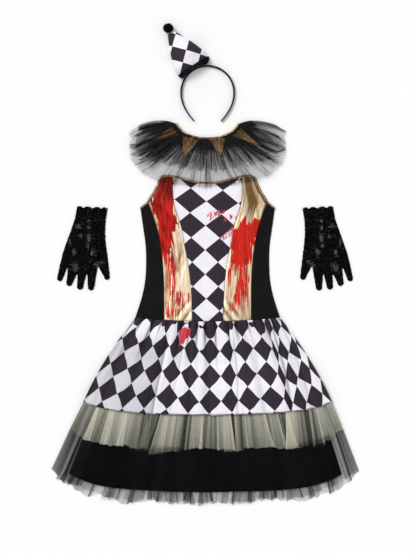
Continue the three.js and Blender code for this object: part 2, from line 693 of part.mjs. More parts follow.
function addHat() {
  const rings = hatRings.map((ring) => (turn) => {
    const height = (ring.height / 2) * (1 - Math.sin(turn));
    return hatPoint(ring.along, ring.halfWidth * Math.cos(turn), height);
  });
  add("hat_cone", loft(rings, 24), "check");
  // The felt base fills the crescent between the mouth and the headband's outer edge.
  const bandX = HEADBAND.x - HAT.tipX;
  const bandY = HEADBAND.y - HAT.tipY;
  const bandAlong = HAT.towardsX * bandX + HAT.towardsY * bandY;
  const bandAcross = HAT.towardsX * bandY - HAT.towardsY * bandX;
  const outer = HEADBAND.radius + HEADBAND.thick / 2 + 2 * SEAM;
  const mouth = hatRings[hatRings.length - 1];
  const basePoint = (upper) => (share, row) => {
    const across = share * HAT_BASE.halfWidth + HAT_BASE.shift;
    const near = bandAlong - Math.sqrt(outer ** 2 - (across - bandAcross) ** 2);
    const far = Math.min(near, mouth.along + HAT_BASE.edge + HAT_BASE.depth * (1 - share ** 8));
    const along = lerp(mouth.along + SEAM, far, row);
    const top = lerp(HAT_BASE.mouthHeight, HAT_BASE.bandHeight, row) * Math.sqrt(1 - share ** 2);
    return hatPoint(along, across, upper ? top + HAT_BASE.edge : 0);
  };
  add("hat_base", wall(spread([-1, 1], 17), [0, 0.5, 1], basePoint(true), basePoint(false)), "lining");
  const pompom = new THREE.SphereGeometry(POMPOM.radius, 14, 9);
  pompom.scale(1, POMPOM.squash, POMPOM.squash);
  const mesh = add("hat_pompom", pompom, "pile");
  mesh.position.set(POMPOM.x, POMPOM.y, POMPOM.radius * POMPOM.squash);
}

// A glove's flat outline, counter-clockwise from the wrist's thumb corner, across the wrist,
// down the outer edge, round each finger and back up the thumb side.
function gloveOutline() {
  const points = [];
  const put = (x, y) => points.push(new THREE.Vector2(x, y));
  put(palmEdge[0].thumb, palmEdge[0].y);
  for (const row of palmEdge) put(row.outer, row.y);
  fingers.forEach((finger, i) => {
    const start = i === 0 ? palmEdge[palmEdge.length - 1].outer : fingers[i - 1].forkX;
    const end = i === fingers.length - 1 ? palmEdge[palmEdge.length - 1].thumb : finger.forkX;
    const rootX = (start + end) / 2;
    const rootY = palmEdge[palmEdge.length - 1].y;
    const lean = Math.atan2(finger.tipX - rootX, rootY - finger.tipY);
    for (const step of [-100, -50, 0, 50, 100]) {
      const turn = THREE.MathUtils.degToRad(step) + lean;
      put(
        finger.tipX + finger.radius * Math.sin(turn),
        finger.tipY + finger.radius - finger.radius * Math.cos(turn),
      );
    }
    if (i < fingers.length - 1) {
      put(finger.forkX - 1.5, finger.forkY + 1);
      put(finger.forkX + 1.5, finger.forkY + 1);
    }
  });
  for (const row of [...palmEdge].reverse().slice(0, -1)) put(row.thumb, row.y);
  return points;
}

function addGlove(where, way, x) {
  const hand = new THREE.Group();
  hand.position.set(x, GLOVE.y, 0);
  hand.rotation.z = way * GLOVE.tilt;
  costume.add(hand);
  const outline = gloveOutline().map((p) => new THREE.Vector2(way * p.x, p.y));
  if (way < 0) outline.reverse();
  const { thick, bevel } = GLOVE_WALL;
  const step = thick + 2 * bevel + SEAM;
  ["palm", "back"].forEach((face, i) => {
    const geometry = new THREE.ExtrudeGeometry(new THREE.Shape(outline), {
      depth: thick, bevelEnabled: true, bevelThickness: bevel, bevelSize: bevel,
      bevelOffset: -bevel, bevelSegments: 1, steps: 1,
    });
    const mesh = add("glove_" + where + "_" + face, geometry, "lace");
    hand.add(mesh);
    mesh.position.z = bevel + i * step;
  });
  const frill = add("glove_" + where + "_frill", frillRing(), "lace");
  hand.add(frill);
}

// The gathered frill round the wrist edge: an open, flattened ring whose wall ripples.
function frillRing() {
  const wallThick = 1;
  const point = (i, end, inner) => {
    const turn = (2 * Math.PI * i) / FRILL.steps;
    const wave = FRILL.ripple * end * Math.sin(FRILL.waves * turn);
    const height = FRILL.height / 2 + FRILL.ripple - (inner ? wallThick : 0);
    const half = FRILL.halfWidth + end * FRILL.flare - (inner ? wallThick : 0);
    const middle = FRILL.height / 2 + FRILL.ripple;
    const tall = (height - FRILL.ripple + wave) * Math.sin(turn);
    const scallop = end * 2.5 * Math.cos(FRILL.waves * turn);
    const x = half * Math.cos(turn) + end * FRILL.drift;
    return [x, SEAM + 0.2 + end * FRILL.length + scallop, middle + tall];
  };
  const points = [];
  for (const [end, inner] of [[0, false], [1, false], [1, true], [0, true]]) {
    for (let i = 0; i < FRILL.steps; i++) points.push(...point(i, end, inner));
  }
  const faces = [];
  for (let ring = 0; ring < 4; ring++) {
    for (let i = 0; i < FRILL.steps; i++) {
      const j = (i + 1) % FRILL.steps;
      const a = ring * FRILL.steps;
      const b = ((ring + 1) % 4) * FRILL.steps;
      faces.push(a + i, b + i, b + j, a + i, b + j, a + j);
    }
  }
  const geometry = new THREE.BufferGeometry();
  geometry.setAttribute("position", new THREE.Float32BufferAttribute(points, 3));
  geometry.setIndex(faces);
  return geometry;
}

addBodice();
addSkirt();
addRuff();
addHeadband();
addHat();
addGlove("left", 1, GLOVE.leftX);
addGlove("right", -1, GLOVE.rightX);

export default costume;
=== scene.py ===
# %% [markdown]
# # A clown dress costume, laid out flat
#
# The whole set lies face up on a pale table and is seen from straight above: a sleeveless dress
# with a three-tier skirt, a net ruff, a headband with a small cone hat, and two lace gloves.
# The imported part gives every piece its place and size. This script gives them their cloth: each
# piece is a thin sheet on the form of its solid, with its own folds, print and finish.
# Sizes are in millimetres from the dress's centre front, and become metres in to_frame().

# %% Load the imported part
import math

import bmesh
import bpy
import numpy as np
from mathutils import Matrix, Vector, geometry
from mathutils.bvhtree import BVHTree


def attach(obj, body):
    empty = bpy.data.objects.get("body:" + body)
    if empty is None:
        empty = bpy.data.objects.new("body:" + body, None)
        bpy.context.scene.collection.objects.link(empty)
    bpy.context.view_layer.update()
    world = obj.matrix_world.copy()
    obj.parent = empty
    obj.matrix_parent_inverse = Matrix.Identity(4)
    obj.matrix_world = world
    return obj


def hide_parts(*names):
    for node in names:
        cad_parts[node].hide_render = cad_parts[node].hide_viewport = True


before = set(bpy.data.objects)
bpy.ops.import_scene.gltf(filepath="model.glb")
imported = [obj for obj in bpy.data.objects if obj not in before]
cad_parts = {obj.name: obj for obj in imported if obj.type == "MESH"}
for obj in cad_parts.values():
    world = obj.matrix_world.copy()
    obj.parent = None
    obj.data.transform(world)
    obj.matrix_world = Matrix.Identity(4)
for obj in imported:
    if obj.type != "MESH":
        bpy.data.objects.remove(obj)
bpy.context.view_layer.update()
print("parts in the frame:", len(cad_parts))

# %% [markdown]
# ## Camera, table and light
#
# A catalogue picture of a laid-out garment is taken from high above with a long lens, so that
# nothing leans outwards. One pixel of the 416 by 555 picture is 2.6 mm of table. The light is a
# white room and one broad, distant lamp at the upper left, which gives faint shadows to the lower
# right and lights both ends of the table alike.

# %% Camera
MM = 0.001
CENTRE_FRONT_X = 7.575
PIXEL = 2.6
FRAME_PIXELS = (416, 555)
CENTRE_FRONT_PIXEL = (207.6, 264.5)
AIM = (
    (FRAME_PIXELS[0] / 2 - CENTRE_FRONT_PIXEL[0]) * PIXEL,
    (CENTRE_FRONT_PIXEL[1] - FRAME_PIXELS[1] / 2) * PIXEL,
)
CAMERA_HEIGHT = 6.0

scene = bpy.context.scene
camera_data = bpy.data.cameras.new("camera")
camera_data.sensor_width = 36
camera_data.lens = camera_data.sensor_width * CAMERA_HEIGHT / (FRAME_PIXELS[1] * PIXEL * MM)
camera = bpy.data.objects.new("camera", camera_data)
camera.location = ((AIM[0] + CENTRE_FRONT_X) * MM, AIM[1] * MM, CAMERA_HEIGHT)
scene.collection.objects.link(camera)
scene.camera = camera
scene.view_settings.view_transform = "Standard"
scene.cycles.transparent_max_bounces = 32
print("lens, mm:", round(camera_data.lens, 1))

# %% Table and lights
FLOOR_HALF = 25.0
FLOOR_Z = -0.0004
KEY_LIGHT = {"place": (-1.5, 1.5, 2.7), "spread": 0.36, "strength": 1.8}
ROOM_LIGHT = 0.62


def far_lamp(name, place, spread, strength):
    """A lamp so far off that it lights the whole table evenly, but broad, so shadows are soft."""
    light = bpy.data.lights.new(name, "SUN")
    light.angle = spread
    light.energy = strength
    lamp = bpy.data.objects.new(name, light)
    lamp.location = place
    lamp.rotation_euler = (-Vector(place)).to_track_quat("-Z", "Y").to_euler()
    scene.collection.objects.link(lamp)
    return lamp


paper = bpy.data.materials.new("white_paper")
paper.use_nodes = True
paper_shader = paper.node_tree.nodes["Principled BSDF"]
paper_shader.inputs["Base Color"].default_value = (0.93, 0.93, 0.93, 1)
paper_shader.inputs["Roughness"].default_value = 0.95
paper_shader.inputs["Specular IOR Level"].default_value = 0.0
floor_mesh = bpy.data.meshes.new("table")
corners = [(-1, -1), (1, -1), (1, 1), (-1, 1)]
floor_points = [(x * FLOOR_HALF, y * FLOOR_HALF, FLOOR_Z) for x, y in corners]
floor_mesh.from_pydata(floor_points, [], [(0, 1, 2, 3)])
floor_mesh.materials.append(paper)
table_top = bpy.data.objects.new("table", floor_mesh)
scene.collection.objects.link(table_top)
far_lamp("key", **KEY_LIGHT)
world = bpy.data.worlds.new("room")
world.use_nodes = True
world.node_tree.nodes["Background"].inputs["Color"].default_value = (1, 1, 1, 1)
world.node_tree.nodes["Background"].inputs["Strength"].default_value = ROOM_LIGHT
scene.world = world

# %% [markdown]
# ## Tools for cloth
#
# Every sheet here is a grid of points: columns across the cloth and rows down it. The grid's
# height comes from the solid it stands for, found by dropping rays on it and softening what they
# find, so that a faceted fold becomes a round one. Numpy does this faster and more repeatably
# than sculpting or a cloth simulation, and a row of the grid is easy to reason about.

# %% Charts and smooth curves
KNOTS = 4096


def chart(columns, *rows):
    """A small table: the names of its columns, then its rows."""
    return [dict(zip(columns.split(), row)) for row in rows]


def column_of(rows, name):
    """One column of a chart."""
    return np.array([row[name] for row in rows], float)


def to_frame(x, y, z):
    """Millimetres from the centre front to metres in the part's frame."""
    return np.stack([(x + CENTRE_FRONT_X) * MM, y * MM, z * MM], axis=-1)


def ramp(value, start, stop):
    """0 before start, 1 after stop, straight in between."""
    return np.clip((value - start) / (stop - start), 0, 1)


def ease(value, start, stop):
    """The same as ramp, with soft ends."""
    t = ramp(value, start, stop)
    return t * t * (3 - 2 * t)


def curve(keys, values, at):
    """A smooth curve through a chart's values, whose keys rise."""
    keys, values = np.asarray(keys, float), np.asarray(values, float)
    before = np.clip(np.arange(len(keys)) - 1, 0, None)
    after = np.clip(np.arange(len(keys)) + 1, None, len(keys) - 1)
    slope = (values[after] - values[before]) / (keys[after] - keys[before])
    at = np.clip(at, keys[0], keys[-1])
    i = np.clip(np.searchsorted(keys, at) - 1, 0, len(keys) - 2)
    span = keys[i + 1] - keys[i]
    t = (at - keys[i]) / span
    near = (2 * t**3 - 3 * t**2 + 1) * values[i] + (t**3 - 2 * t**2 + t) * span * slope[i]
    far = (3 * t**2 - 2 * t**3) * values[i + 1] + (t**3 - t**2) * span * slope[i + 1]
    return near + far


def wander(at, step, seed):
    """A smooth random curve from -1 to 1 with a knot every step."""
    knots = np.random.default_rng(seed).uniform(-1, 1, KNOTS)
    place = np.asarray(at, float) / step + 1000
    i = np.floor(place).astype(int)
    t = ease(place - i, 0, 1)
    return knots[i % KNOTS] * (1 - t) + knots[(i + 1) % KNOTS] * t


def whole_turn(count):
    """Angles at even steps round a circle."""
    return np.linspace(0, 2 * np.pi, count, endpoint=False)


def soften(z, passes):
    """Averages each grid point with its neighbours, some number of times."""
    for _ in range(passes):
        p = np.pad(z, 1, mode="edge")
        z = (p[:-2, 1:-1] + p[2:, 1:-1] + p[1:-1, :-2] + p[1:-1, 2:] + 2 * z) / 6
    return z


print("middle of a smooth step:", ease(0.5, 0, 1))

# %% Heights of a solid
FAR_OFF = 200.0
trees = {}


def tree_of(mesh):
    """A mesh's faces, sorted so that a ray finds the one it hits fast."""
    return BVHTree.FromPolygons([v.co for v in mesh.vertices], [p.vertices for p in mesh.polygons])


def drop(solid, x, y, under=False):
    """Height in mm of a solid's upper or lower side at each point, NaN where it misses."""
    if solid not in trees:
        trees[solid] = tree_of(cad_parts[solid].data)
    down = Vector((0, 0, 1 if under else -1))
    points = to_frame(x, y, np.full(x.shape, -FAR_OFF if under else FAR_OFF)).reshape(-1, 3)
    hits = [trees[solid].ray_cast(Vector(p), down)[0] for p in points]
    return np.array([h.z / MM if h else np.nan for h in hits]).reshape(x.shape)


def fill(z):
    """Gives a missed point the height of its nearest hit in its row, or in the next row."""
    z = z.copy()
    for row in z:
        hit = ~np.isnan(row)
        if hit.any():
            row[:] = np.interp(np.arange(len(row)), np.flatnonzero(hit), row[hit])
    good = [i for i, row in enumerate(z) if not np.isnan(row).any()]
    for i, row in enumerate(z):
        if i not in good:
            row[:] = z[min(good, key=lambda g: abs(g - i))]
    return z


def heights(node, x, y, passes, under=False):
    """The softened height of a solid on a grid of points."""
    return soften(fill(drop(node, x, y, under)), passes)


print("solids to drop rays on:", len(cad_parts))

# %% A grid becomes a mesh
CLEARANCE = 0.05


def sheet_object(
    name, x, y, z, material, uv=None, marks=None, thick=0, face_down=False, closed=False
):
    """A grid of points in mm becomes an object. marks are named values, one for each point."""
    z = np.maximum(z, thick + CLEARANCE)
    points = np.stack([x, y, z], -1)
    if closed:
        points = np.concatenate([points, points[:, :1]], axis=1)
    rows, columns = x.shape
    index = np.arange(rows * columns).reshape(rows, columns)
    if closed:
        index = np.concatenate([index, index[:, :1]], axis=1)
    corners = [index[:-1, :-1], index[1:, :-1], index[1:, 1:], index[:-1, 1:]]
    faces = np.stack(corners[::-1] if face_down else corners, -1).reshape(-1, 4)
    mesh = bpy.data.meshes.new(name)
    mesh.from_pydata(to_frame(x, y, z).reshape(-1, 3).tolist(), [], faces.tolist())
    if uv is not None:
        layer = mesh.uv_layers.new(name="cut")
        flat = np.stack([uv[0], uv[1]], -1).reshape(-1, 2)
        layer.data.foreach_set("uv", flat[faces.ravel()].astype(np.float32).ravel())
    for mark, values in (marks or {}).items():
        attribute = mesh.attributes.new(mark, "FLOAT", "POINT")
        spread = np.broadcast_to(values, x.shape).astype(np.float32)
        attribute.data.foreach_set("value", spread.ravel())
    mesh.shade_smooth()
    mesh.materials.append(material)
    piece = bpy.data.objects.new(name + "_cloth", mesh)
    scene.collection.objects.link(piece)
    if thick:
        thicken(piece, thick)
    return piece


def thicken(piece, thick):
    """Gives a sheet its thickness, in mm, below its face."""
    wall = piece.modifiers.new("thickness", "SOLIDIFY")
    wall.thickness = thick * MM
    wall.offset = -1


def cut_area(piece):
    """The cloth's own area, before its thickness is given, in square metres."""
    return sum(p.area for p in piece.data.polygons)


def settle(piece, slot, *nodes):
    """Puts a piece on the part: it rides on it and stands for its solids."""
    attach(piece, "root")
    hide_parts(*nodes)
    return piece


print("clearance over the table, mm:", CLEARANCE)

# %% [markdown]
# ## Materials
#
# Cloth is mostly a colour, a weave that is too fine to see thread by thread, and a soft
# unevenness. Weave and unevenness are used by many materials, so each is a node group, made once.
# Net is different: it is holes with a little thread, so its material is partly clear, and where
# net is gathered or folded the mark called cover makes it denser.

# %% Node helpers


def node(tree, kind, inputs=None, **settings):
    """Adds a node, sets its options and its inputs; an input may be a value or a socket."""
    made = tree.nodes.new(kind)
    for key, value in settings.items():
        setattr(made, key, value)
    for key, value in (inputs or {}).items():
        if isinstance(value, bpy.types.NodeSocket):
            tree.links.new(value, made.inputs[key])
        else:
            made.inputs[key].default_value = value
    return made


def maths(tree, operation, a, b=0.0, c=0.0):
    """One arithmetic step; a, b and c are values or sockets."""
    return node(tree, "ShaderNodeMath", {0: a, 1: b, 2: c}, operation=operation).outputs[0]


def mix(tree, share, first, second, blend="MIX"):
    """Mixes two colours."""
    inputs = {0: share, 6: first, 7: second}
    return node(tree, "ShaderNodeMix", inputs, data_type="RGBA", blend_type=blend).outputs[2]


def mark(tree, name):
    """Reads a value that the mesh carries for each point."""
    return node(tree, "ShaderNodeAttribute", attribute_name=name).outputs["Fac"]


def coordinates(tree, scale, turn=0.0):
    """The piece's own coordinates, scaled and turned."""
    place = node(tree, "ShaderNodeTexCoord").outputs["Object"]
    inputs = {"Vector": place, "Scale": scale, "Rotation": (0, 0, turn)}
    return node(tree, "ShaderNodeMapping", inputs).outputs[0]


def between(tree, value, low, high, start=0.0, stop=1.0, soft=False):
    """Maps the range from low to high on to the one from start to stop."""
    inputs = {0: value, 1: low, 2: high, 3: start, 4: stop}
    kind = "SMOOTHSTEP" if soft else "LINEAR"
    return node(tree, "ShaderNodeMapRange", inputs, interpolation_type=kind).outputs[0]


def noise(tree, place, scale=5.0, **more):
    """A soft random pattern."""
    inputs = {"Vector": place, "Scale": scale, **more}
    return node(tree, "ShaderNodeTexNoise", inputs).outputs["Fac"]


def finish(shader, roughness, specular, sheen=0.0, **more):
    """Sets how rough, how shiny and how fuzzy a surface is."""
    values = {"Roughness": roughness, "Specular IOR Level": specular, "Sheen Weight": sheen}
    for socket, value in {**values, **more}.items():
        shader.inputs[socket].default_value = value


print("node helpers:", node.__name__, mix.__name__, between.__name__, noise.__name__)

# %% Materials and shared groups


def new_material(name):
    """A new material, with its node tree and its Principled shader."""
    made = bpy.data.materials.new(name)
    made.use_nodes = True
    tree = made.node_tree
    return made, tree, tree.nodes["Principled BSDF"]


def shared_group(name, numbers, outputs):
    """A shader group without nodes of its own, its inputs and outputs named: returns its ends too."""
    tree = bpy.data.node_groups.new(name, "ShaderNodeTree")
    for label, value in numbers.items():
        socket = tree.interface.new_socket(label, in_out="INPUT", socket_type="NodeSocketFloat")
        socket.default_value = value
    for label in outputs:
        tree.interface.new_socket(label, in_out="OUTPUT", socket_type="NodeSocketFloat")
    return tree, tree.nodes.new("NodeGroupInput"), tree.nodes.new("NodeGroupOutput")


print("materials so far:", len(bpy.data.materials))

# %% The weave and the unevenness
weave, given, result = shared_group("weave", {"Threads per metre": 900.0}, ["Height"])
place = node(weave, "ShaderNodeTexCoord").outputs["Object"]
parts = node(weave, "ShaderNodeSeparateXYZ", {0: place})
FULL_TURN = 6.283
ridges = []
for axis in (0, 1):
    turns = maths(weave, "MULTIPLY", parts.outputs[axis], given.outputs[0])
    ridges.append(maths(weave, "SINE", maths(weave, "MULTIPLY", turns, FULL_TURN)))
height = maths(weave, "MULTIPLY", ridges[0], ridges[1])
weave.links.new(height, result.inputs["Height"])

mottle, given, result = shared_group("mottle", {"Scale": 40.0, "Detail": 4.0}, ["Shade"])
place = node(mottle, "ShaderNodeTexCoord").outputs["Object"]
cloud = noise(mottle, place, given.outputs["Scale"], Detail=given.outputs["Detail"])
mottle.links.new(cloud, result.inputs["Shade"])
print("shared groups:", weave.name, mottle.name)


def grouped(tree, group, **numbers):
    """Places a shared group in a material with its own values."""
    made = node(tree, "ShaderNodeGroup", node_tree=group)
    for label, value in numbers.items():
        made.inputs[label.replace("_", " ")].default_value = value
    return made.outputs[0]


def bumped(tree, shader, height, distance, strength=1.0, under=None):
    """Feeds a height to the shader's normal, on top of an earlier bump if one is given."""
    inputs = {"Height": height, "Distance": distance, "Strength": strength}
    if under is not None:
        inputs["Normal"] = under
    normal = node(tree, "ShaderNodeBump", inputs).outputs[0]
    tree.links.new(normal, shader.inputs["Normal"])
    return normal


# %% Plain dark cloths


def dark_cloth(name, colour, roughness, specular, sheen, threads, wrinkle):
    """A black cloth: nearly flat in colour, so sheen, weave and small wrinkles carry it."""
    made, tree, shader = new_material(name)
    shade = grouped(tree, mottle, Scale=28.0, Detail=5.0)
    lighter = tuple(c * 1.7 for c in colour[:3]) + (1,)
    tree.links.new(mix(tree, shade, colour, lighter), shader.inputs["Base Color"])
    finish(shader, roughness, specular, sheen)
    fine = bumped(tree, shader, grouped(tree, weave, Threads_per_metre=threads), 0.0002, 0.5)
    bumped(tree, shader, noise(tree, coordinates(tree, (14, 30, 20), 0.7)), wrinkle, 1.0, fine)
    return made


jersey = dark_cloth("jersey", (0.0052, 0.0052, 0.0053, 1), 0.7, 0.06, 0.03, 1100, 0.004)
lining_cloth = dark_cloth("lining", (0.001, 0.001, 0.0011, 1), 0.6, 0.025, 0.004, 1400, 0.004)
felt = dark_cloth("felt", (0.002, 0.002, 0.0021, 1), 0.9, 0.06, 0.04, 500, 0.002)
print("dark cloths:", jersey.name, lining_cloth.name, felt.name)

# %% [markdown]
# ### Net
#
# One layer of net is mostly holes. Rather than model a hundred thousand holes, the sheet is as
# clear as the net is open, and the mark called cover says how dense it is: gathered near a seam,
# or seen edge on where a fold turns. Two or three layers then darken each other as they do in
# life. A faint honeycomb breaks the tone up.

# %% Net material
CELLS_PER_METRE = 520


def net_cloth(name, colour, light, grain):
    """See-through net. light is a second tint that the mottle brings in."""
    made, tree, shader = new_material(name)
    shade = grouped(tree, mottle, Scale=240.0, Detail=3.0)
    tree.links.new(mix(tree, shade, colour, light), shader.inputs["Base Color"])
    finish(shader, 0.8, 0.05)
    honeycomb = {"Vector": coordinates(tree, (1, 1, 0.2)), "Scale": CELLS_PER_METRE}
    cells = node(tree, "ShaderNodeTexVoronoi", honeycomb)
    holes = between(tree, cells.outputs["Distance"], 0.1, 0.7, 1 - grain, 1 + grain)
    uneven = between(tree, shade, 0.3, 0.7, 1 - grain, 1 + grain)
    dense = maths(tree, "MULTIPLY", maths(tree, "MULTIPLY", mark(tree, "cover"), holes), uneven)
    tree.links.new(maths(tree, "MINIMUM", dense, 1.0), shader.inputs["Alpha"])
    return made


black_net = net_cloth("black_net", (0.005, 0.005, 0.0055, 1), (0.014, 0.014, 0.015, 1), 0.12)
cream_net = net_cloth("cream_net", (0.74, 0.73, 0.58, 1), (0.84, 0.83, 0.7, 1), 0.05)
print("nets:", black_net.name, cream_net.name)

# %% [markdown]
# ### Check print
#
# The harlequin check is printed in diamonds that stand on their points. The mesh carries the
# print's own coordinates as its UV map, one unit to a diamond's edge, so a checker on that map
# follows the cloth into its folds. The mark called shade is painted shade, which darkens the print
# towards a cool grey in the creases, in the puckers and over the front's left part. The mark
# called paint tells where red paint was brushed on.

# %% Check material
WHITE = (0.88, 0.865, 0.92, 1)
AUBERGINE = (0.031, 0.0215, 0.0315, 1)
# The cool grey that painted shade turns the print towards.
PAINTED_SHADE_TINT = (0.1, 0.095, 0.15, 1)
THIN_CRIMSON = (0.66, 0.08, 0.14, 1)
THICK_CRIMSON = (0.56, 0.03, 0.055, 1)
STREAK_SWING = 1.9
PAINT_HOLDS = (0.47, 0.6)


def painted(tree, base, colour, streaks):
    """Lays brushed paint over a colour where the mark called paint and the streaks agree."""
    lines = noise(tree, streaks, 1.0, Detail=6.0, Roughness=0.7)
    paint = mark(tree, "paint")
    near = maths(tree, "MINIMUM", maths(tree, "MULTIPLY", paint, 6.0), 1.0)
    swing = maths(tree, "MULTIPLY", maths(tree, "SUBTRACT", lines, 0.5), STREAK_SWING)
    wish = maths(tree, "MULTIPLY_ADD", swing, near, paint)
    amount = between(tree, wish, *PAINT_HOLDS, soft=True)
    return mix(tree, amount, base, colour), amount


def check_cloth(name, streak_scale, streak_turn):
    """Printed check on a smooth satin-like cloth."""
    made, tree, shader = new_material(name)
    cut = node(tree, "ShaderNodeUVMap", uv_map="cut").outputs[0]
    squares = {"Vector": cut, "Color1": AUBERGINE, "Color2": WHITE, "Scale": 1.0}
    cells = node(tree, "ShaderNodeTexChecker", squares).outputs["Color"]
    # Painted shade: the mark called shade darkens the print towards a cool grey.
    shaded = mix(tree, mark(tree, "shade"), cells, PAINTED_SHADE_TINT, "MULTIPLY")
    cloud = between(tree, grouped(tree, mottle, Scale=35.0), 0.3, 0.7, 0.95, 1.0)
    worn = mix(tree, 1.0, shaded, cloud, "MULTIPLY")
    crimson = mix(tree, mark(tree, "paint"), THIN_CRIMSON, THICK_CRIMSON)
    colour, _ = painted(tree, worn, crimson, coordinates(tree, streak_scale, streak_turn))
    tree.links.new(colour, shader.inputs["Base Color"])
    finish(shader, 0.5, 0.12, 0.02)
    fine = bumped(tree, shader, grouped(tree, weave, Threads_per_metre=1200.0), 0.0002, 0.3)
    bumped(tree, shader, noise(tree, coordinates(tree, (40, 12, 20))), 0.0015, 1.0, fine)
    return made


check = check_cloth("check", (380, 45, 50), 0.45)
print("print:", check.name)

# %% [markdown]
# ## The skirt's cut
#
# The check, the two nets and the lining spread from the waist like a fan, so a point is named by
# how far across it lies, from -1 to 1, and by its level: 0 at the waist, 1 at the check hem, 2 at
# the cream hem, 3 at the lining hem and 4 at the black net hem. The chart repeats the solids' cut.

# %% Where the skirt lies
SKIRT_EDGES = chart(
    "edge half shift centre gentle corner",
    ("waist", 188, 0, -148, 10, 0),
    ("check hem", 322.6, 0, -389.5, 15, 18),
    ("cream hem", 352.5, -2.8, -478, 14, 42),
    ("lining hem", 392, -6.4, -591, 18, 57),
    ("net hem", 401, -7.5, -617, 28, 53),
)
SKIRT_BULGE = 10
TIER_SEAM = 0.72
LINING_SIDE = 0.905


def skirt_place(u, level):
    """X and y of a point of the skirt."""
    step = np.clip(np.floor(level).astype(int), 0, len(SKIRT_EDGES) - 2)
    share = level - step
    columns = ("half", "shift", "centre", "gentle", "corner")
    half, shift, centre, gentle, corner = (column_of(SKIRT_EDGES, name) for name in columns)
    ends = []
    for i in (step, step + 1):
        rise = centre[i] + gentle[i] * u**2 + corner[i] * u**6
        ends.append((shift[i] + u * half[i], rise))
    bulge = np.where(step == 0, SKIRT_BULGE * 4 * share * (1 - share) * u**3, 0)
    x = ends[0][0] * (1 - share) + ends[1][0] * share + bulge
    return x, ends[0][1] * (1 - share) + ends[1][1] * share


class Bed:
    """The softened height of a ply's solid over places across and levels, read at any point."""

    def __init__(self, node_name, place, across, levels, passes, under=False):
        self.across, self.levels = across, levels
        u, level = np.meshgrid(across, levels)
        x, y = place(u, level)
        self.z = heights(node_name, x, y, passes, under)

    def __call__(self, u, level):
        i, j = (
            np.clip(np.interp(at, knots, np.arange(len(knots))), 0, len(knots) - 1.001)
            for at, knots in ((u, self.across), (level, self.levels))
        )
        a, b = i.astype(int), j.astype(int)
        s, t = i - a, j - b
        top = self.z[b, a] * (1 - s) + self.z[b, a + 1] * s
        low = self.z[b + 1, a] * (1 - s) + self.z[b + 1, a + 1] * s
        return top * (1 - t) + low * t


net_hem = skirt_place(np.array([-1.0, 1.0]), np.array([4.0, 4.0]))[0]
print("width of the net hem, mm:", round(float(np.ptp(net_hem))))

# %% [markdown]
# ### Folding a gathered net
#
# Net does not wave when it is pressed flat under its own layers: it doubles over, so that along
# each pleat three thicknesses lie on each other with a sharp edge at both sides. The columns here
# are steps along the cloth itself. At a pleat the place across runs forward, back and forward
# again while the cloth goes on, which lays the fold down. Each pleat has its own place, depth
# and height from a fixed seed, so no two are alike.

# %% The pleats


class Pleats:
    """Knife pleats between two places across: some number of them, each doubling back by a depth."""

    def __init__(self, seed, start, stop, count, depth, uneven=0.5, step=0.004):
        rng = np.random.default_rng(seed)
        even = (np.arange(count) + 0.5) / count
        place = start + (stop - start) * (even + rng.uniform(-0.5, 0.5, count) * uneven / count)
        self.depth = depth * rng.uniform(0.45, 1.5, count) ** 2
        self.grows = rng.uniform(0.3, 1.0, count)
        self.height = rng.uniform(0.5, 1.0, count)
        self.start, self.stop = start, stop
        before = np.concatenate([[0], np.cumsum(2 * self.depth)[:-1]])
        self.at = place + before
        self.length = stop - start + 2 * self.depth.sum()
        self.cloth = start + np.arange(0, self.length + step, step)

    def fold(self, spread):
        """For each row, how open its pleats are: gives the place across, how steeply the cloth
        runs there, and the rise of the folds, for each step along the cloth."""
        cloth = np.broadcast_to(self.cloth, (len(spread), len(self.cloth)))
        across, rise = cloth.copy(), np.zeros(cloth.shape)
        for at, depth, grows, height in zip(self.at, self.depth, self.grows, self.height):
            back = 2 * depth * (grows + (1 - grows) * spread)[:, None]
            width = max(depth, 1e-4)
            across -= back * ease(cloth, at, at + width)
            rise += height * np.exp(-(((cloth - at - 0.9 * width) / (1.1 * width)) ** 2))
        low, high = across[:, :1], across[:, -1:]
        across = self.start + (across - low) / (high - low) * (self.stop - self.start)
        run = np.gradient(across, axis=1) / (self.cloth[1] - self.cloth[0])
        return across, run, rise


def cover_of(thread, layers):
    """How much of the light is stopped by some number of layers that each stop a share."""
    return 1 - (1 - thread) ** np.maximum(layers, 0)


def streaks(cloth, steps, seed):
    """Fine unevenness along the cloth, about 0, from waves of several widths."""
    total = sum(wander(cloth, step, seed + i) * (0.75**i) for i, step in enumerate(steps))
    return total / sum(0.75**i for i in range(len(steps)))


print("three layers of net stop a share of", round(float(cover_of(0.2, 3)), 2))

# %% [markdown]
# ### Net and cream tiers
#
# The cream one shows its pleats as light and olive stripes, where three layers or one lie over
# the black below, and its hem is cut roughly, so it ends in points. The black ones only show
# where they pass the lining.

# %% Tiers


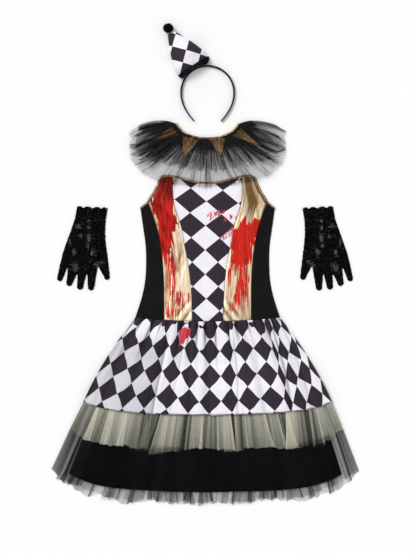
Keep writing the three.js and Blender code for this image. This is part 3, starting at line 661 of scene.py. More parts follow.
def tier(name, top, bottom, pleats, net, rise, hem, material, slot, seed, thin=(), rows=16):
    """A gathered tier of net between two levels, folded as its pleats say. thin lists stretches
    across where one loose layer hangs a little lower than the rest."""
    levels = top + (bottom - top) * np.linspace(0, 1, rows) ** 0.8
    down = ramp(levels, top, bottom)
    across, run, folded = pleats.fold(down)
    cloth = np.broadcast_to(pleats.cloth, across.shape)
    ragged = hem["jag"] * wander(cloth, hem["step"], seed)
    ragged = ragged + 0.45 * hem["jag"] * wander(cloth, hem["step"] / 5, seed + 1)
    ragged = ragged + hem["points"] * np.clip(folded, 0, 1.2)
    hanging = np.zeros(across.shape)
    for start, stop in thin:
        hanging += ease(across, start, start + 0.02) * (1 - ease(across, stop - 0.02, stop))
    level = levels[:, None] + (ragged + 0.07 * hanging) * down[:, None] ** 3
    slant = 0.03 * wander(across, 0.16, seed + 6) * (1 - across**2)
    u = np.clip(across + slant * down[:, None], -1, 1)
    x, y = skirt_place(u, level)
    bed = Bed(name, skirt_place, np.linspace(-1, 1, 121), np.linspace(top, bottom, 12), 3)
    side = ramp(1 - np.abs(u), 0, 0.08)
    z = bed(u, level) + rise * folded * side * (0.35 + 0.65 * down[:, None])
    fine = streaks(cloth + 0.004 * level, net["steps"], seed + 5)
    layers = net["top"] + (net["hem"] - net["top"]) * down[:, None]
    layers = layers * (1 + net["sides"] * ease(np.abs(u), 0.8, 0.92))
    dense = layers * np.clip(1 + net["uneven"] * fine, net["least"], None)
    dense = dense / np.clip(np.abs(run), 0.45, 1.6)
    dense = dense * (1 - 0.65 * hanging * ramp(level, bottom - 0.08, bottom))
    marks = {"cover": cover_of(net["thread"], dense)}
    piece = sheet_object(name, x, y, z, material, marks=marks, face_down=name.endswith("back"))
    return settle(piece, slot, name)


print("levels from the tiers' seam to the net hem:", TIER_SEAM, "to 4")

# %% Cream and black nets
CREAM = {
    "thread": 0.22, "top": 1.3, "hem": 0.55, "uneven": 2.6, "least": 0.15,
    "sides": 0, "steps": (0.13, 0.07, 0.03, 0.011),
}
BLACK = {
    "thread": 0.2, "top": 1.8, "hem": 1.1, "uneven": 2.0, "least": 0.5,
    "sides": 0.45, "steps": (0.06, 0.025, 0.011, 0.005),
}
cream_front = tier(
    "skirt_cream_front", TIER_SEAM, 2, Pleats(11, -1, 1, 21, 0.042, 1.4), CREAM, 2.6,
    {"jag": 0.05, "step": 0.09, "points": 0.07}, cream_net, "cream", 21,
    thin=((-0.43, -0.17), (0.66, 0.92)),
)
cream_back = tier(
    "skirt_cream_back", TIER_SEAM, 2, Pleats(12, -1, 1, 22, 0.014, 0.9), CREAM, 0.3,
    {"jag": 0.03, "step": 0.1, "points": 0.04}, cream_net, "cream", 31,
)
net_front = tier(
    "skirt_net_front", TIER_SEAM, 4, Pleats(13, -1, 1, 34, 0.012, 1.3), BLACK, 1.8,
    {"jag": 0.34, "step": 0.13, "points": 0.2}, black_net, "net", 41,
)
net_back = tier(
    "skirt_net_back", TIER_SEAM, 4.2, Pleats(14, -1, 1, 21, 0.014, 1.3), BLACK, 0.3,
    {"jag": 0.4, "step": 0.17, "points": 0.15}, black_net, "net", 51,
)
print("nets in front, square metres:", [round(cut_area(net), 3) for net in (cream_front, net_front)])

# %% [markdown]
# ### Lining
#
# Two plain black panels joined at the sides, which carry the net tiers. Only the lower part
# shows, nearly black, with faint long folds and a small step in its hem.

# %% Lining


def lining(name, seed, front):
    """One lining panel, with its long soft folds."""
    across, levels = np.linspace(-1, 1, 181), np.linspace(0, 3, 40)
    share, level = np.meshgrid(across, levels)
    limit = 0.985 + (LINING_SIDE - 0.985) * ramp(level, 0, 1)
    u = share * limit
    droop = 0.03 * wander(u, 0.35, seed) + 0.014 * ease(u, -0.30, -0.285)
    level = level + (droop - 0.02) * ease(level, 2, 3)
    x, y = skirt_place(u, level)
    z = heights(name, x, y, 3)
    fan = u + 0.04 * wander(level, 1.4, seed + 3)
    folds = 1.5 * wander(fan, 0.085, seed + 1) + 0.7 * wander(fan, 0.03, seed + 2)
    z = z + (folds * ease(level, 1.6, 2.6) * ramp(1 - np.abs(share), 0, 0.1) if front else 0)
    piece = sheet_object(name, x, y, z, lining_cloth, thick=1.0)
    return settle(piece, "lining", name)


lining_front = lining("skirt_lining_front", 61, True)
lining_back = lining("skirt_lining_back", 62, False)
print("lining, square metres:", round(cut_area(lining_front), 3))

# %% [markdown]
# ### The check skirt
#
# The tier that shows most: printed satin gathered into the waist seam. Near the seam it puckers
# every 24 mm or so; from there a few long creases run down, each in its own place. The print
# must break at the creases as it does on the real one, so the print's columns are charted:
# where each column of diamond corners crosses an upper and a lower height of the skirt, and
# the height of one of its corners.

# %% Print chart
PRINT_TOP_Y = -196.3
PRINT_LOW_Y = -352.3
PRINT_ROW = 32.2
PRINT_COLUMNS = chart(
    "column top low corner",
    (-15, -312, -400, -245),
    (-13, -274, -349, -251),
    (-12, -249, -321, -285),
    (-11, -224, -297, -256),
    (-10, -202, -271, -292),
    (-9, -177, -241, -270),
    (-8, -154, -212, -307),
    (-7, -135.5, -188, -277),
    (-6, -114, -160, -308),
    (-5, -94, -135.5, -277),
    (-4, -83, -103, -310),
    (-3, -58.5, -76.7, -282),
    (-2, -40, -49, -322),
    (-1, -19.5, -22.4, -290.5),
    (0, 7, 5.5, -323),
    (1, 32.5, 35, -288.5),
    (2, 56, 62, -320),
    (3, 67.3, 81.6, -286),
    (4, 92, 105.6, -316),
    (5, 115, 138, -283),
    (6, 143.5, 169.3, -316),
    (7, 160.7, 199.2, -283),
    (8, 168.7, 209, -320),
    (9, 175.5, 219.2, -293.3),
    (10, 187, 243.4, -314.6),
    (11, 201.5, 255.3, -291),
    (12, 222, 284.7, -313.6),
    (13, 226, 307, -270),
    (14, 238, 323.4, -297),
    (16, 270, 372, -290),
)


def print_on_skirt(x, y):
    """The print's own coordinates at each point of the front."""
    number, top, low = (column_of(PRINT_COLUMNS, name) for name in ("column", "top", "low"))
    share = (y - PRINT_TOP_Y) / (PRINT_LOW_Y - PRINT_TOP_Y)
    corner = column_of(PRINT_COLUMNS, "corner") - PRINT_ROW * (number % 2)
    column, row = np.zeros(x.shape), np.zeros(x.shape)
    for i in np.ndindex(x.shape):
        places = top + (low - top) * share[i]
        column[i] = np.interp(x[i], places, number)
        even = np.interp(x[i], places, corner)
        row[i] = (even - y[i]) / PRINT_ROW
    return (column + row) / 2 + 1, (row - column) / 2


print("columns of the print that are charted:", len(PRINT_COLUMNS))

# %% Creases, gathers and paint
LONG_CREASES = chart(
    "waist hem depth width start",
    (-0.93, -0.86, 1.2, 0.03, 0.1),
    (-0.72, -0.69, 1.0, 0.03, 0.0),
    (-0.49, -0.44, 3.2, 0.016, 0.1),
    (-0.25, -0.15, 1.6, 0.02, 0.05),
    (-0.04, 0.02, 0.9, 0.02, 0.0),
    (0.34, 0.245, 2.6, 0.014, 0.0),
    (0.55, 0.46, 1.0, 0.03, 0.0),
    (0.84, 0.665, 4.0, 0.018, 0.0),
    (0.95, 0.84, 2.0, 0.02, 0.0),
)
WAIST_PUCKERS = {"count": 16, "deep": 4.2, "fades_by": 0.24, "print_shift": 3.8}
SKIRT_PAINT = chart(
    "x y half_x half_y lean amount",
    (-56, -172, 16, 8, 0.6, 0.78),
    (-62, -184, 14, 12, 0.3, 0.84),
    (-66, -197, 7, 12, 0.35, 0.86),
)


def brushed(x, y, strokes):
    """How much paint each point has, from strokes that fade at their edges."""
    paint = np.zeros(x.shape)
    for i, stroke in enumerate(strokes):
        up = y - stroke["y"]
        over = x - stroke["x"] - stroke["lean"] * up
        up = up + 0.4 * stroke["half_y"] * wander(over, 3.2, 301 + i)
        over = over + 0.25 * stroke["half_x"] * wander(up, 11, 331 + i)
        edge = np.abs(over / stroke["half_x"]) ** 2.5 + np.abs(up / stroke["half_y"]) ** 2.5
        paint = np.maximum(paint, stroke["amount"] * (1 - ease(edge, 0.3, 1.7)))
    return paint


print("long creases:", len(LONG_CREASES), "puckers:", WAIST_PUCKERS["count"])

# %% Check skirt, front and back


def check_skirt(name, front):
    """The gathered check tier. The back's creases are the front's, turned round."""
    across, levels = np.linspace(-1, 1, 401), np.linspace(0, 1, 91)
    u, level = np.meshgrid(across, levels)
    x, y = skirt_place(u, level)
    z = heights(name, x, y, 4)
    way = 1 if front else -1
    side = ramp(1 - np.abs(u), 0, 0.04)
    # Painted shade darkens the print in the creases' troughs, in the puckers' hollows and in the
    # ripples' hollows.
    depth, shade_in_hollows = np.zeros(u.shape), np.zeros(u.shape)
    for crease in LONG_CREASES:
        middle = way * (crease["waist"] + (crease["hem"] - crease["waist"]) * level)
        middle = middle + 0.006 * wander(level, 0.3, int(100 * crease["depth"]))
        off = (u - middle) / crease["width"]
        along = ease(level, crease["start"] - 0.05, crease["start"] + 0.3) * (1 - 0.4 * level)
        trough = np.exp(-(off**2))
        ridge = np.exp(-((off - 2.0 * way) ** 2))
        depth += crease["depth"] * along * (trough - 0.5 * ridge)
        shade_in_hollows += 0.2 * crease["depth"] * along * np.exp(-((1.6 * off) ** 2))
    phase = WAIST_PUCKERS["count"] * (u + 1) / 2 + 0.3 * wander(u, 0.11, 72)
    valley = np.abs(np.sin(np.pi * phase))
    reach = WAIST_PUCKERS["fades_by"] * (1.1 + 0.8 * wander(u, 0.09, 73))
    fades = 1 - ease(level / reach, 0.1, 1.4)
    gathers = WAIST_PUCKERS["deep"] * (1 - valley**0.6) * fades
    shade_in_hollows += 0.9 * np.exp(-((valley / 0.34) ** 2)) * fades
    fan = u + 0.03 * wander(level, 0.4, 75)
    ripples = 1.2 * wander(fan, 0.06, 74) + 0.7 * wander(fan, 0.022, 77)
    ripples = ripples * (1 - 0.45 * level)
    shade_in_hollows += 0.24 * np.clip(-ripples - 0.2, 0, 1)
    # Painted shade over the front's left part, left of a line near -0.49 across, from a little below
    # the waist down.
    left_side_shade = 0.0 * u
    if front:
        left = -0.49 + 0.05 * level
        left_side_shade = 0.3 * (1 - ease(u, left - 0.012, left + 0.006)) * ease(level, 0.12, 0.35)
    else:
        depth, gathers, ripples = depth * 0.15, gathers * 0.25, ripples * 0.2
    z = z + (1.0 - depth - gathers + ripples) * side
    y = y + 1.2 * wander(u, 0.04, 76) * ramp(level, 0.8, 1) ** 2
    shift = WAIST_PUCKERS["print_shift"] * np.sin(2 * np.pi * phase) * fades * side
    shift = shift + 1.5 * wander(fan, 0.045, 78)
    lift = 1.8 * wander(fan, 0.05, 79)
    paint = brushed(x, y, SKIRT_PAINT) if front else 0.0
    marks = {"shade": np.clip(left_side_shade + shade_in_hollows, 0, 0.85), "paint": paint}
    cut = print_on_skirt(x + shift, y + lift)
    piece = sheet_object(name, x, y, z, check, uv=cut, marks=marks, thick=1.0)
    return settle(piece, "check", name)


check_front = check_skirt("skirt_check_front", True)
check_back = check_skirt("skirt_check_back", False)
print("check skirt, square metres:", round(cut_area(check_front), 3))

# %% [markdown]
# ## The ruff
#
# The ruff is two rings of net, a short one over a long one, gathered on to a narrow foil band.
# Laid flat, each ring folds at the shoulders into a front and a back ply. A point of it is named
# by its place round the front, from -1 at the left shoulder to 1 at the right, and by its level:
# 0 at the band, 1 at the short hem and 2 at the long one. At the band the gathers are so tight
# that the net is black; they open like a fan, so the cover falls with the level.

# %% Where the ruff lies
RUFF_CUT = chart(
    "at neck_x neck_y short_x short_y long_x long_y",
    (0, 79.2, 367.5, 176, 349, 206, 347.5),
    (0.15, 71.5, 357, 185, 308, 204, 306),
    (0.3, 61.5, 347, 171, 279, 200, 274),
    (0.45, 49, 339.8, 136, 267, 174, 239),
    (0.6, 35.5, 334.6, 99, 258, 133, 215),
    (0.8, 17.5, 331.4, 47, 247, 65, 203),
    (1, 0, 330.4, 0, 244, 0, 200),
)
RUFF_FOLD_BULGE = 17
BAND_WIDTH = 5


def ruff_column(name, at):
    """A column of the ruff's cut, read smoothly at any place."""
    return curve(column_of(RUFF_CUT, "at"), column_of(RUFF_CUT, name), at)


def ruff_place(s, level):
    """X and y of a point of the ruff."""
    s, level = np.broadcast_arrays(np.asarray(s, float), np.asarray(level, float))
    at = 1 - np.abs(s)
    way = np.where(s < 0, -1.0, 1.0)
    neck = ruff_column("neck_x", at), ruff_column("neck_y", at)
    short = ruff_column("short_x", at), ruff_column("short_y", at)
    long = ruff_column("long_x", at), ruff_column("long_y", at)
    first = (BAND_WIDTH + 0.3) / np.hypot(short[0] - neck[0], short[1] - neck[1])
    share = np.where(level <= 1, first + (1 - first) * level, level - 1)
    whole = np.clip(level / 2, 0, 1)
    bulge = RUFF_FOLD_BULGE * ramp(0.25 - at, 0, 0.25) * 6.75 * whole * (1 - whole) ** 2
    ends = [np.where(level <= 1, neck[i], short[i]) for i in (0, 1)]
    tips = [np.where(level <= 1, short[i], long[i]) for i in (0, 1)]
    x, y = (ends[i] + (tips[i] - ends[i]) * share for i in (0, 1))
    return way * x, y + bulge


print("depth of the ruff in front, mm:", RUFF_CUT[-1]["neck_y"] - RUFF_CUT[-1]["long_y"])

# %% Where the foil points show, and the darkest pleats
RUFF_POINTS = chart(
    "name root corners",
    ("ruff_point_outer_left", (-0.92, -0.66), ((-95, 358), (-72, 336), (-143, 322))),
    ("ruff_point_inner_left", (-0.6, -0.22), ((-66.6, 335), (-21, 324), (-62, 277))),
    ("ruff_point_inner_right", (0.04, 0.5), ((1, 327), (47, 329), (34, 280))),
    ("ruff_point_outer_right", (0.64, 0.92), ((63, 334), (87, 354), (136, 308))),
)
HANGING_PLEATS = chart(
    "s width layers",
    (-0.29, 0.011, 3.0), (-0.155, 0.02, 2.2), (-0.135, 0.007, 4.0), (-0.073, 0.007, 3.5),
    (-0.012, 0.011, 4.0), (0.015, 0.006, 3.0), (0.215, 0.01, 3.0), (0.262, 0.009, 3.5),
    (0.33, 0.026, 2.0), (0.372, 0.008, 3.0),
)


def over_points(x, y):
    """1 over a foil point's triangle and 0 elsewhere, with soft edges."""
    over = np.zeros(x.shape)
    for cut in RUFF_POINTS:
        corners = np.array(cut["corners"], float)
        inside = np.full(x.shape, np.inf)
        for i in range(3):
            start, stop, third = corners[i], corners[i - 2], corners[i - 1]
            edge = stop - start
            to_third = edge[0] * (third[1] - start[1]) - edge[1] * (third[0] - start[0])
            to_place = edge[0] * (y - start[1]) - edge[1] * (x - start[0])
            inside = np.minimum(inside, to_place * np.sign(to_third) / np.hypot(*edge))
        over = np.maximum(over, ease(inside, -2.0, 1.0))
    return over


def dark_lines(s, level, count, seed, nearest=0.0, sway=0.035):
    """Extra thickness along narrow pleats that fan out and end at different levels. Those nearer
    the middle than nearest are left out."""
    rng = np.random.default_rng(seed)
    total = np.zeros(s.shape)
    for _ in range(count):
        start = rng.choice((-1, 1)) * rng.uniform(nearest, 0.99)
        middle = start + rng.uniform(-sway, sway) * level
        width = rng.uniform(0.05, 0.12) ** 2
        reach = rng.uniform(0.45, 1.15)
        strength = rng.uniform(1.0, 5.0)
        fades = 1 - ease(level, reach - 0.12, reach + 0.1)
        total += strength * fades * np.exp(-(((s - middle) / width) ** 2))
    return total


print("foil points:", len(RUFF_POINTS), "hanging pleats:", len(HANGING_PLEATS))

# %% [markdown]
# The short ply is dense only near the band. Further out each pleat is a dark stroke of its own
# length, the net between is one clear layer, and the pleat ends stick out as points. The net
# lies open over the four foil points. The long ply is pale, with a few dark pleats hanging down
# over the dress, placed as they are in the picture.

# %% A ply of the ruff


def ruff_ply(
    name, hem, pleats, net, rise, edge, seed, lift, hanging=(), shows_points=False, rows=30
):
    """One gathered ply of the ruff from the band to a hem level."""
    levels = hem * np.linspace(0, 1, rows)
    spread = ramp(levels, 0, hem)
    across, run, folded = pleats.fold(spread)
    cloth = np.broadcast_to(pleats.cloth, across.shape)
    torn = 0.7 + 2.2 * across**4
    ragged = edge["jag"] * torn * (wander(cloth, edge["step"], seed) - 0.3 * across**4)
    ragged = ragged + 0.5 * torn * edge["jag"] * wander(cloth, edge["step"] / 4, seed + 1)
    ragged = ragged + edge["points"] * np.clip(folded, 0, 1.2)
    level = levels[:, None] + (ragged - 0.4 * edge["jag"]) * spread[:, None] ** 2
    level = np.clip(level, 0, hem + 0.16)
    s = np.clip(across, -1, 1)
    x, y = ruff_place(s, level)
    bed = Bed(name, ruff_place, np.linspace(-1, 1, 121), np.linspace(0.01, hem, 14), 3)
    side = ramp(1 - np.abs(s), 0, 0.06)
    z = bed(s, level) + lift + rise * folded * side * ease(level, 0, 0.5)
    fine = streaks(cloth, (0.05, 0.02, 0.009, 0.005), seed + 5)
    fine = fine + 0.5 * wander(cloth + 0.04 * wander(level, 0.5, seed + 9), 0.013, seed + 10)
    layers = net["hem"] + net["band"] * (1 - ease(level, 0.05, net["opens_by"]))
    dense = layers * np.clip(1 + net["uneven"] * fine, 0.15, None) / np.clip(np.abs(run), 0.4, 1.6)
    dense = dense + dark_lines(s, level, net["lines"], seed + 20)
    dense = dense + 1.8 * dark_lines(s, level / hem / 0.93, net["side_lines"], seed + 21, 0.55, 0.11)
    for pleat in hanging:
        far = (s - pleat["s"] - 0.01 * wander(level, 0.6, seed + 30)) / pleat["width"]
        dense = dense + pleat["layers"] * np.exp(-(far**4)) * ease(level, 0.5, 1.0)
    if shows_points:
        dense = dense * (1 - 0.86 * over_points(x, y))
    marks = {"cover": cover_of(net["thread"], dense)}
    piece = sheet_object(name, x, y, z, black_net, marks=marks, face_down=name.endswith("back"))
    return settle(piece, "net", name)


print("band's width, mm:", BAND_WIDTH)

# %% The plies, from the back to the front
SHORT_NET, LONG_NET, HIDDEN_NET = chart(
    "thread hem band opens_by uneven lines side_lines",
    (0.2, 1.2, 7, 0.4, 1.3, 96, 44),
    (0.13, 1.0, 5, 0.5, 0.35, 12, 46),
    (0.12, 1.0, 4, 0.5, 0.35, 6, 16),
)
ruff_short_back = ruff_ply(
    "ruff_short_back", 1, Pleats(81, -1, 1, 18, 0.016, 0.9), HIDDEN_NET, 0.2,
    {"jag": 0.09, "step": 0.05, "points": 0.08}, 91, 0,
)
ruff_long_back = ruff_ply(
    "ruff_long_back", 2, Pleats(82, -1, 1, 12, 0.012, 1.0), HIDDEN_NET, 0.2,
    {"jag": 0.07, "step": 0.12, "points": 0.03}, 92, 0,
)
ruff_long_front = ruff_ply(
    "ruff_long_front", 2, Pleats(83, -1, 1, 14, 0.014, 1.0), LONG_NET, 1.2,
    {"jag": 0.13, "step": 0.07, "points": 0.05}, 93, 0, hanging=HANGING_PLEATS,
)
ruff_short_front = ruff_ply(
    "ruff_short_front", 1, Pleats(84, -1, 1, 30, 0.015, 1.1), SHORT_NET, 2.4,
    {"jag": 0.23, "step": 0.07, "points": 0.16}, 94, 0.4, shows_points=True,
)
print("net of the short ruff, square metres:", round(cut_area(ruff_short_front), 3))

# %% [markdown]
# ### Gold foil
#
# The foil is a thin metal film on knitted cloth. It creases sharply, so its highlights are
# narrow streaks: partly the metal's own reflection, partly pale streaks painted along the crests
# of its wrinkles and folds, and its creases are painted with brown shade. It is partly metal: a
# warm mirror over a matte cloth. The bodice's foil panels were brushed with red paint, wet and
# dark near the shoulder and dry in streaks below.

# %% Foil material
PALE_GLEAM = (0.96, 0.88, 0.7, 1)
# The brown that the mark called shade gives foil, mostly painted shade in its creases and folds.
FOIL_SHADE_BROWN = (0.15, 0.075, 0.022, 1)
FOIL_METAL = 0.35


def foil_cloth(name, colour, deep, wrinkles, streak_scale=None, gleam=0.75):
    """Creased metal film; with streak_scale it carries red paint."""
    made, tree, shader = new_material(name)
    tone = noise(tree, coordinates(tree, wrinkles), 1.0, Detail=3.0, Distortion=0.6)
    gold = mix(tree, between(tree, tone, 0.32, 0.5, soft=True), deep, colour)
    # Painted highlights: pale streaks along the crests of the wrinkle pattern, as strong as gleam
    # says.
    crest = maths(tree, "ABSOLUTE", maths(tree, "SUBTRACT", tone, 0.53))
    gold = mix(tree, between(tree, crest, 0.0, 0.022, gleam, 0.0), gold, PALE_GLEAM)
    # Painted shade where the mark called shade is set, painted highlights where the mark called gleam
    # is.
    gold = mix(tree, mark(tree, "shade"), gold, FOIL_SHADE_BROWN)
    gold = mix(tree, mark(tree, "gleam"), gold, PALE_GLEAM)
    finish(shader, 0.3, 0.1, Metallic=FOIL_METAL)
    if streak_scale:
        gold, amount = painted(tree, gold, wet_paint(tree), coordinates(tree, streak_scale))
        shine = maths(tree, "MULTIPLY", maths(tree, "SUBTRACT", 1.0, amount), FOIL_METAL)
        tree.links.new(shine, shader.inputs["Metallic"])
        tree.links.new(maths(tree, "MULTIPLY", amount, 0.06), shader.inputs["Coat Weight"])
        shader.inputs["Coat Roughness"].default_value = 0.2
    tree.links.new(gold, shader.inputs["Base Color"])
    fine = bumped(tree, shader, grouped(tree, weave, Threads_per_metre=1100.0), 0.0001, 0.3)
    bumped(tree, shader, tone, 0.005, 1.0, fine)
    return made


def wet_paint(tree):
    """The paint's own colour: bright where it was dragged thin, dark where it ran together."""
    tone = noise(tree, coordinates(tree, (170, 26, 40)), 1.0, Detail=5.0, Roughness=0.6)
    pooled = between(tree, maths(tree, "ADD", tone, mark(tree, "wet")), 0.44, 0.86)
    return mix(tree, pooled, (0.62, 0.018, 0.009, 1), (0.16, 0.0008, 0.0008, 1))


GOLD = (0.9, 0.73, 0.5, 1)
OLD_GOLD = (0.6, 0.4, 0.2, 1)
BRONZE = (0.19, 0.1, 0.04, 1)
foil_panel = foil_cloth("foil_panel", GOLD, OLD_GOLD, (55, 8, 30), (330, 17, 40))
foil_trim = foil_cloth("foil_trim", (0.6, 0.4, 0.18, 1), (0.3, 0.17, 0.07, 1), (90, 90, 60))
foil_point = foil_cloth("foil_point", BRONZE, (0.1, 0.055, 0.022, 1), (90, 60, 40), gleam=0.06)
print("foils:", foil_panel.name, foil_trim.name, foil_point.name)

# %% [markdown]
# ### Foil points and neck band
#
# Four pointed pieces of foil hang between the plies of net, creased down their middle. The band
# is a strip of foil, folded over the gathers and stitched.

# %% Points and band


def ruff_point(cut, seed):
    """A foil triangle with a creased middle and gathers at its root."""
    across, levels = np.meshgrid(np.linspace(0, 1, 29), np.linspace(0, 1, 36))
    start, stop, tip = np.array(cut["corners"], float)
    root = ruff_place(cut["root"][0] + (cut["root"][1] - cut["root"][0]) * across, 0.05)
    wide = [start[i] + (stop[i] - start[i]) * across for i in (0, 1)]
    near_tip = [tip[i] + (0.03 * (stop - start)[i]) * (across - 0.5) for i in (0, 1)]
    down, share = ramp(levels, 0, 0.2), ramp(levels, 0.2, 1)
    x, y = (root[i] + (wide[i] - root[i]) * down + (near_tip[i] - wide[i]) * share for i in (0, 1))
    z = heights(cut["name"], x, y, 2)
    ridge = 1.6 * np.exp(-(((across - 0.55) / 0.12) ** 2)) * (1 - 0.5 * share)
    gather = 0.7 * wander(across, 0.09, seed) * (1 - share)
    # Darker brown in random bands across the point, and a painted highlight along its crease.
    darker_patches = 0.7 * ease(wander(across + 0.2 * share, 0.16, seed + 1), -0.3, 0.8)
    gleam = np.exp(-(((across - 0.6 - 0.1 * share) / 0.05) ** 2))
    marks = {"shade": np.clip(darker_patches - 0.5 * gleam, 0, 0.8), "gleam": 0.22 * gleam}
    height = z + ridge + gather + 0.3
    cloth = (across, levels)
    piece = sheet_object(cut["name"], x, y, height, foil_point, uv=cloth, marks=marks, thick=0.4)
    return settle(piece, "foil", cut["name"])


points = [ruff_point(cut, 100 + i) for i, cut in enumerate(RUFF_POINTS)]


def neck_band(name, seed):
    """The foil band along the ruff's neck edge, folded over and a little crumpled."""
    s, down = np.meshgrid(np.linspace(-1, 1, 161), np.linspace(0, 1, 7))
    at, way = 1 - np.abs(s), np.where(s < 0, -1.0, 1.0)
    neck = ruff_column("neck_x", at), ruff_column("neck_y", at)
    out = ruff_column("short_x", at) - neck[0], ruff_column("short_y", at) - neck[1]
    length = np.hypot(*out)
    x = way * (neck[0] + out[0] / length * down * BAND_WIDTH)
    y = neck[1] + out[1] / length * down * BAND_WIDTH
    low, high = (np.nanmedian(drop(name, x, y, under)) for under in (True, False))
    round_edge = np.sqrt(np.clip(1 - (2 * down - 1) ** 2, 0, 1))
    z = low + 1.2 + (high - low - 0.8) * (0.35 + 0.65 * round_edge) + 0.3 * wander(s, 0.02, seed)
    # The band's middle is painted darker brown in random stretches: the black gathers that lie over
    # it, and painted shade under them.
    gathers_and_shade = 0.95 * (1 - ease(np.abs(s), 0.5, 0.62)) * ease(wander(s, 0.05, seed + 1), -1.2, -0.2)
    piece = sheet_object(name, x, y, z - 0.4, foil_trim, marks={"shade": gathers_and_shade}, thick=1.0)
    return settle(piece, "foil", name)


bands = [neck_band("neck_band_back", 111), neck_band("neck_band_front", 112)]
print("foil pieces of the ruff:", len(points) + len(bands))

# %% [markdown]
# ## The bodice
#
# Five panels lie on one plain back: a check centre that narrows to the waist, a foil panel at
# each side of it, and black jersey side panels under the arms. Each panel here is a grid between
# two edges of the cut and between its top and the waist. The seams are drawn in by sinking the
# panel's edges a little, which is what stitching does to cloth.

# %% The bodice's cut
BODICE_CUT = chart(
    "y centre foil side",
    (-150, 40, 113.1, 190),
    (-139, 40, 113.1, 188),
    (-87, 41.6, 113.1, 171.6),
    (-42, 45, 113.6, 162.5),
    (4, 50.5, 116.7, 159.9),
    (49, 59.5, 121.9, 161.2),
    (95, 68, 131.6, 167.4),
    (140, 82, 146.9, 173.7),
    (164, 88, 154.6, 175.5),
    (191, 90, 139.1, 176),
    (210, 90, 131.3, 176),
    (236, 88, 124.5, 176),
)
NECKLINE = chart(
    "x y",
    (0, 215), (28, 216.5), (54, 223), (80, 230), (98, 233.5), (112, 233), (126, 227.5),
)
UNDERARM_Y = 164
SIDE_TOP = {"inner_y": 164, "outer_x": 175.4, "outer_y": 148.3}
BINDING = 5
SEAM = 0.3
HALF_SEAM = 0.15
TOP_GAP = BINDING + 3 * SEAM
WAIST = {"y": -147.6, "rise": 10, "half": 188}


def cut_at(name, y):
    """How far a seam lies from the middle at a height."""
    return curve(column_of(BODICE_CUT, "y"), column_of(BODICE_CUT, name), y)


def neckline_y(x):
    """The neck edge's height."""
    return curve(column_of(NECKLINE, "x"), column_of(NECKLINE, "y"), np.abs(x))


def panel_top_y(x):
    """The top of the panels that end under the neck's binding."""
    return neckline_y(x) - TOP_GAP


def waist_y(x):
    """The waist seam's height."""
    return WAIST["y"] + WAIST["rise"] * (x / WAIST["half"]) ** 2


def side_top_y(x):
    """The side panel's top edge under the arm."""
    inner = cut_at("foil", UNDERARM_Y)
    share = ramp(np.abs(x), inner, SIDE_TOP["outer_x"])
    return SIDE_TOP["inner_y"] + (SIDE_TOP["outer_y"] - SIDE_TOP["inner_y"]) * share


print("half the waist, mm:", round(float(cut_at("side", -139.0))))

# %% A panel between its edges


def panel_grid(inner, outer, top, columns, rows):
    """X, y and the share across of a panel between its edges, its top and the waist."""
    across, down = np.meshgrid(np.linspace(0, 1, columns), np.linspace(0, 1, rows))
    y = np.full(across.shape, 0.0)
    for _ in range(12):
        x = inner(y) + (outer(y) - inner(y)) * across
        y = top(x) + (waist_y(x) - top(x)) * down
    return inner(y) + (outer(y) - inner(y)) * across, y, across


def mirrored(inner, outer, way):
    """A panel's two edges from left to right, on its own side of the middle."""
    if way > 0:
        return inner, outer
    return (lambda y: -outer(y)), (lambda y: -inner(y))


def seamed(across, depth, width=0.05):
    """How far a panel's edges are drawn in by their seams."""
    return depth * (np.exp(-((across / width) ** 2)) + np.exp(-(((1 - across) / width) ** 2)))


print("a seam draws its edge in by a share of", round(float(seamed(0.0, 1.0)), 2))

# %% Check centre panel
CENTRE_PRINT = chart(
    "y middle cell",
    (-150, -3, 34.5), (-90, -3.4, 33.8), (-60, -5, 33), (4, -6.5, 33.3), (66, -5.5, 36.9),
    (133, -4.6, 41), (165, -3, 41.6), (199, -2, 41.7), (236, -1, 41.7),
)
CENTRE_CORNER_Y = 164
CENTRE_ROW = 31.6
CENTRE_PAINT = chart(
    "x y half_x half_y lean amount",
    (13, 128, 13, 13, 0.6, 0.56),
    (28, 134, 14, 9, 0.6, 0.6),
    (52, 121, 12, 11, 0.5, 0.54),
    (78, 124, 9, 14, 0.8, 0.54),
    (72, 106, 6, 16, 0.5, 0.56),
    (52, 76, 15, 14, 0.7, 0.58),
    (64, 88, 9, 14, 0.6, 0.6),
)


def print_on_bodice(x, y):
    """The print's own coordinates on the centre panel, where it is stretched by the bust."""
    keys = column_of(CENTRE_PRINT, "y")
    middle, cell = (curve(keys, column_of(CENTRE_PRINT, name), y) for name in ("middle", "cell"))
    column = (x - middle) / cell
    tilt = 0.07 * ramp(y, 30, 190)
    row = (CENTRE_CORNER_Y - y - tilt * (x - middle)) / CENTRE_ROW
    return (column + row) / 2, (row - column) / 2


def panel(name, grid, material, slot, relief, **more):
    """A bodice panel on its solid's form, with its own relief."""
    x, y = grid[:2]
    z = heights(name, x, y, 4)
    piece = sheet_object(name, x, y, z + relief, material, thick=0.9, **more)
    return settle(piece, slot, name)


def centre_half(y):
    """Half the centre panel's width."""
    return cut_at("centre", y) - HALF_SEAM


grid = panel_grid(lambda y: -centre_half(y), centre_half, panel_top_y, 61, 181)
x, y, across = grid
relief = 0.6 * wander(x + 0.4 * y, 34, 121) + 0.5 * wander(y - 0.3 * x, 26, 122) - seamed(across, 0.9)
# Painted shade along both seams, where the relief draws the edges in.
marks = {"shade": seamed(across, 0.2, 0.025), "paint": brushed(x, y, CENTRE_PAINT)}
cut = print_on_bodice(x, y)
centre = panel("bodice_front_centre", grid, check, "check", relief, uv=cut, marks=marks)
print("centre panel, square metres:", round(cut_area(centre), 3))

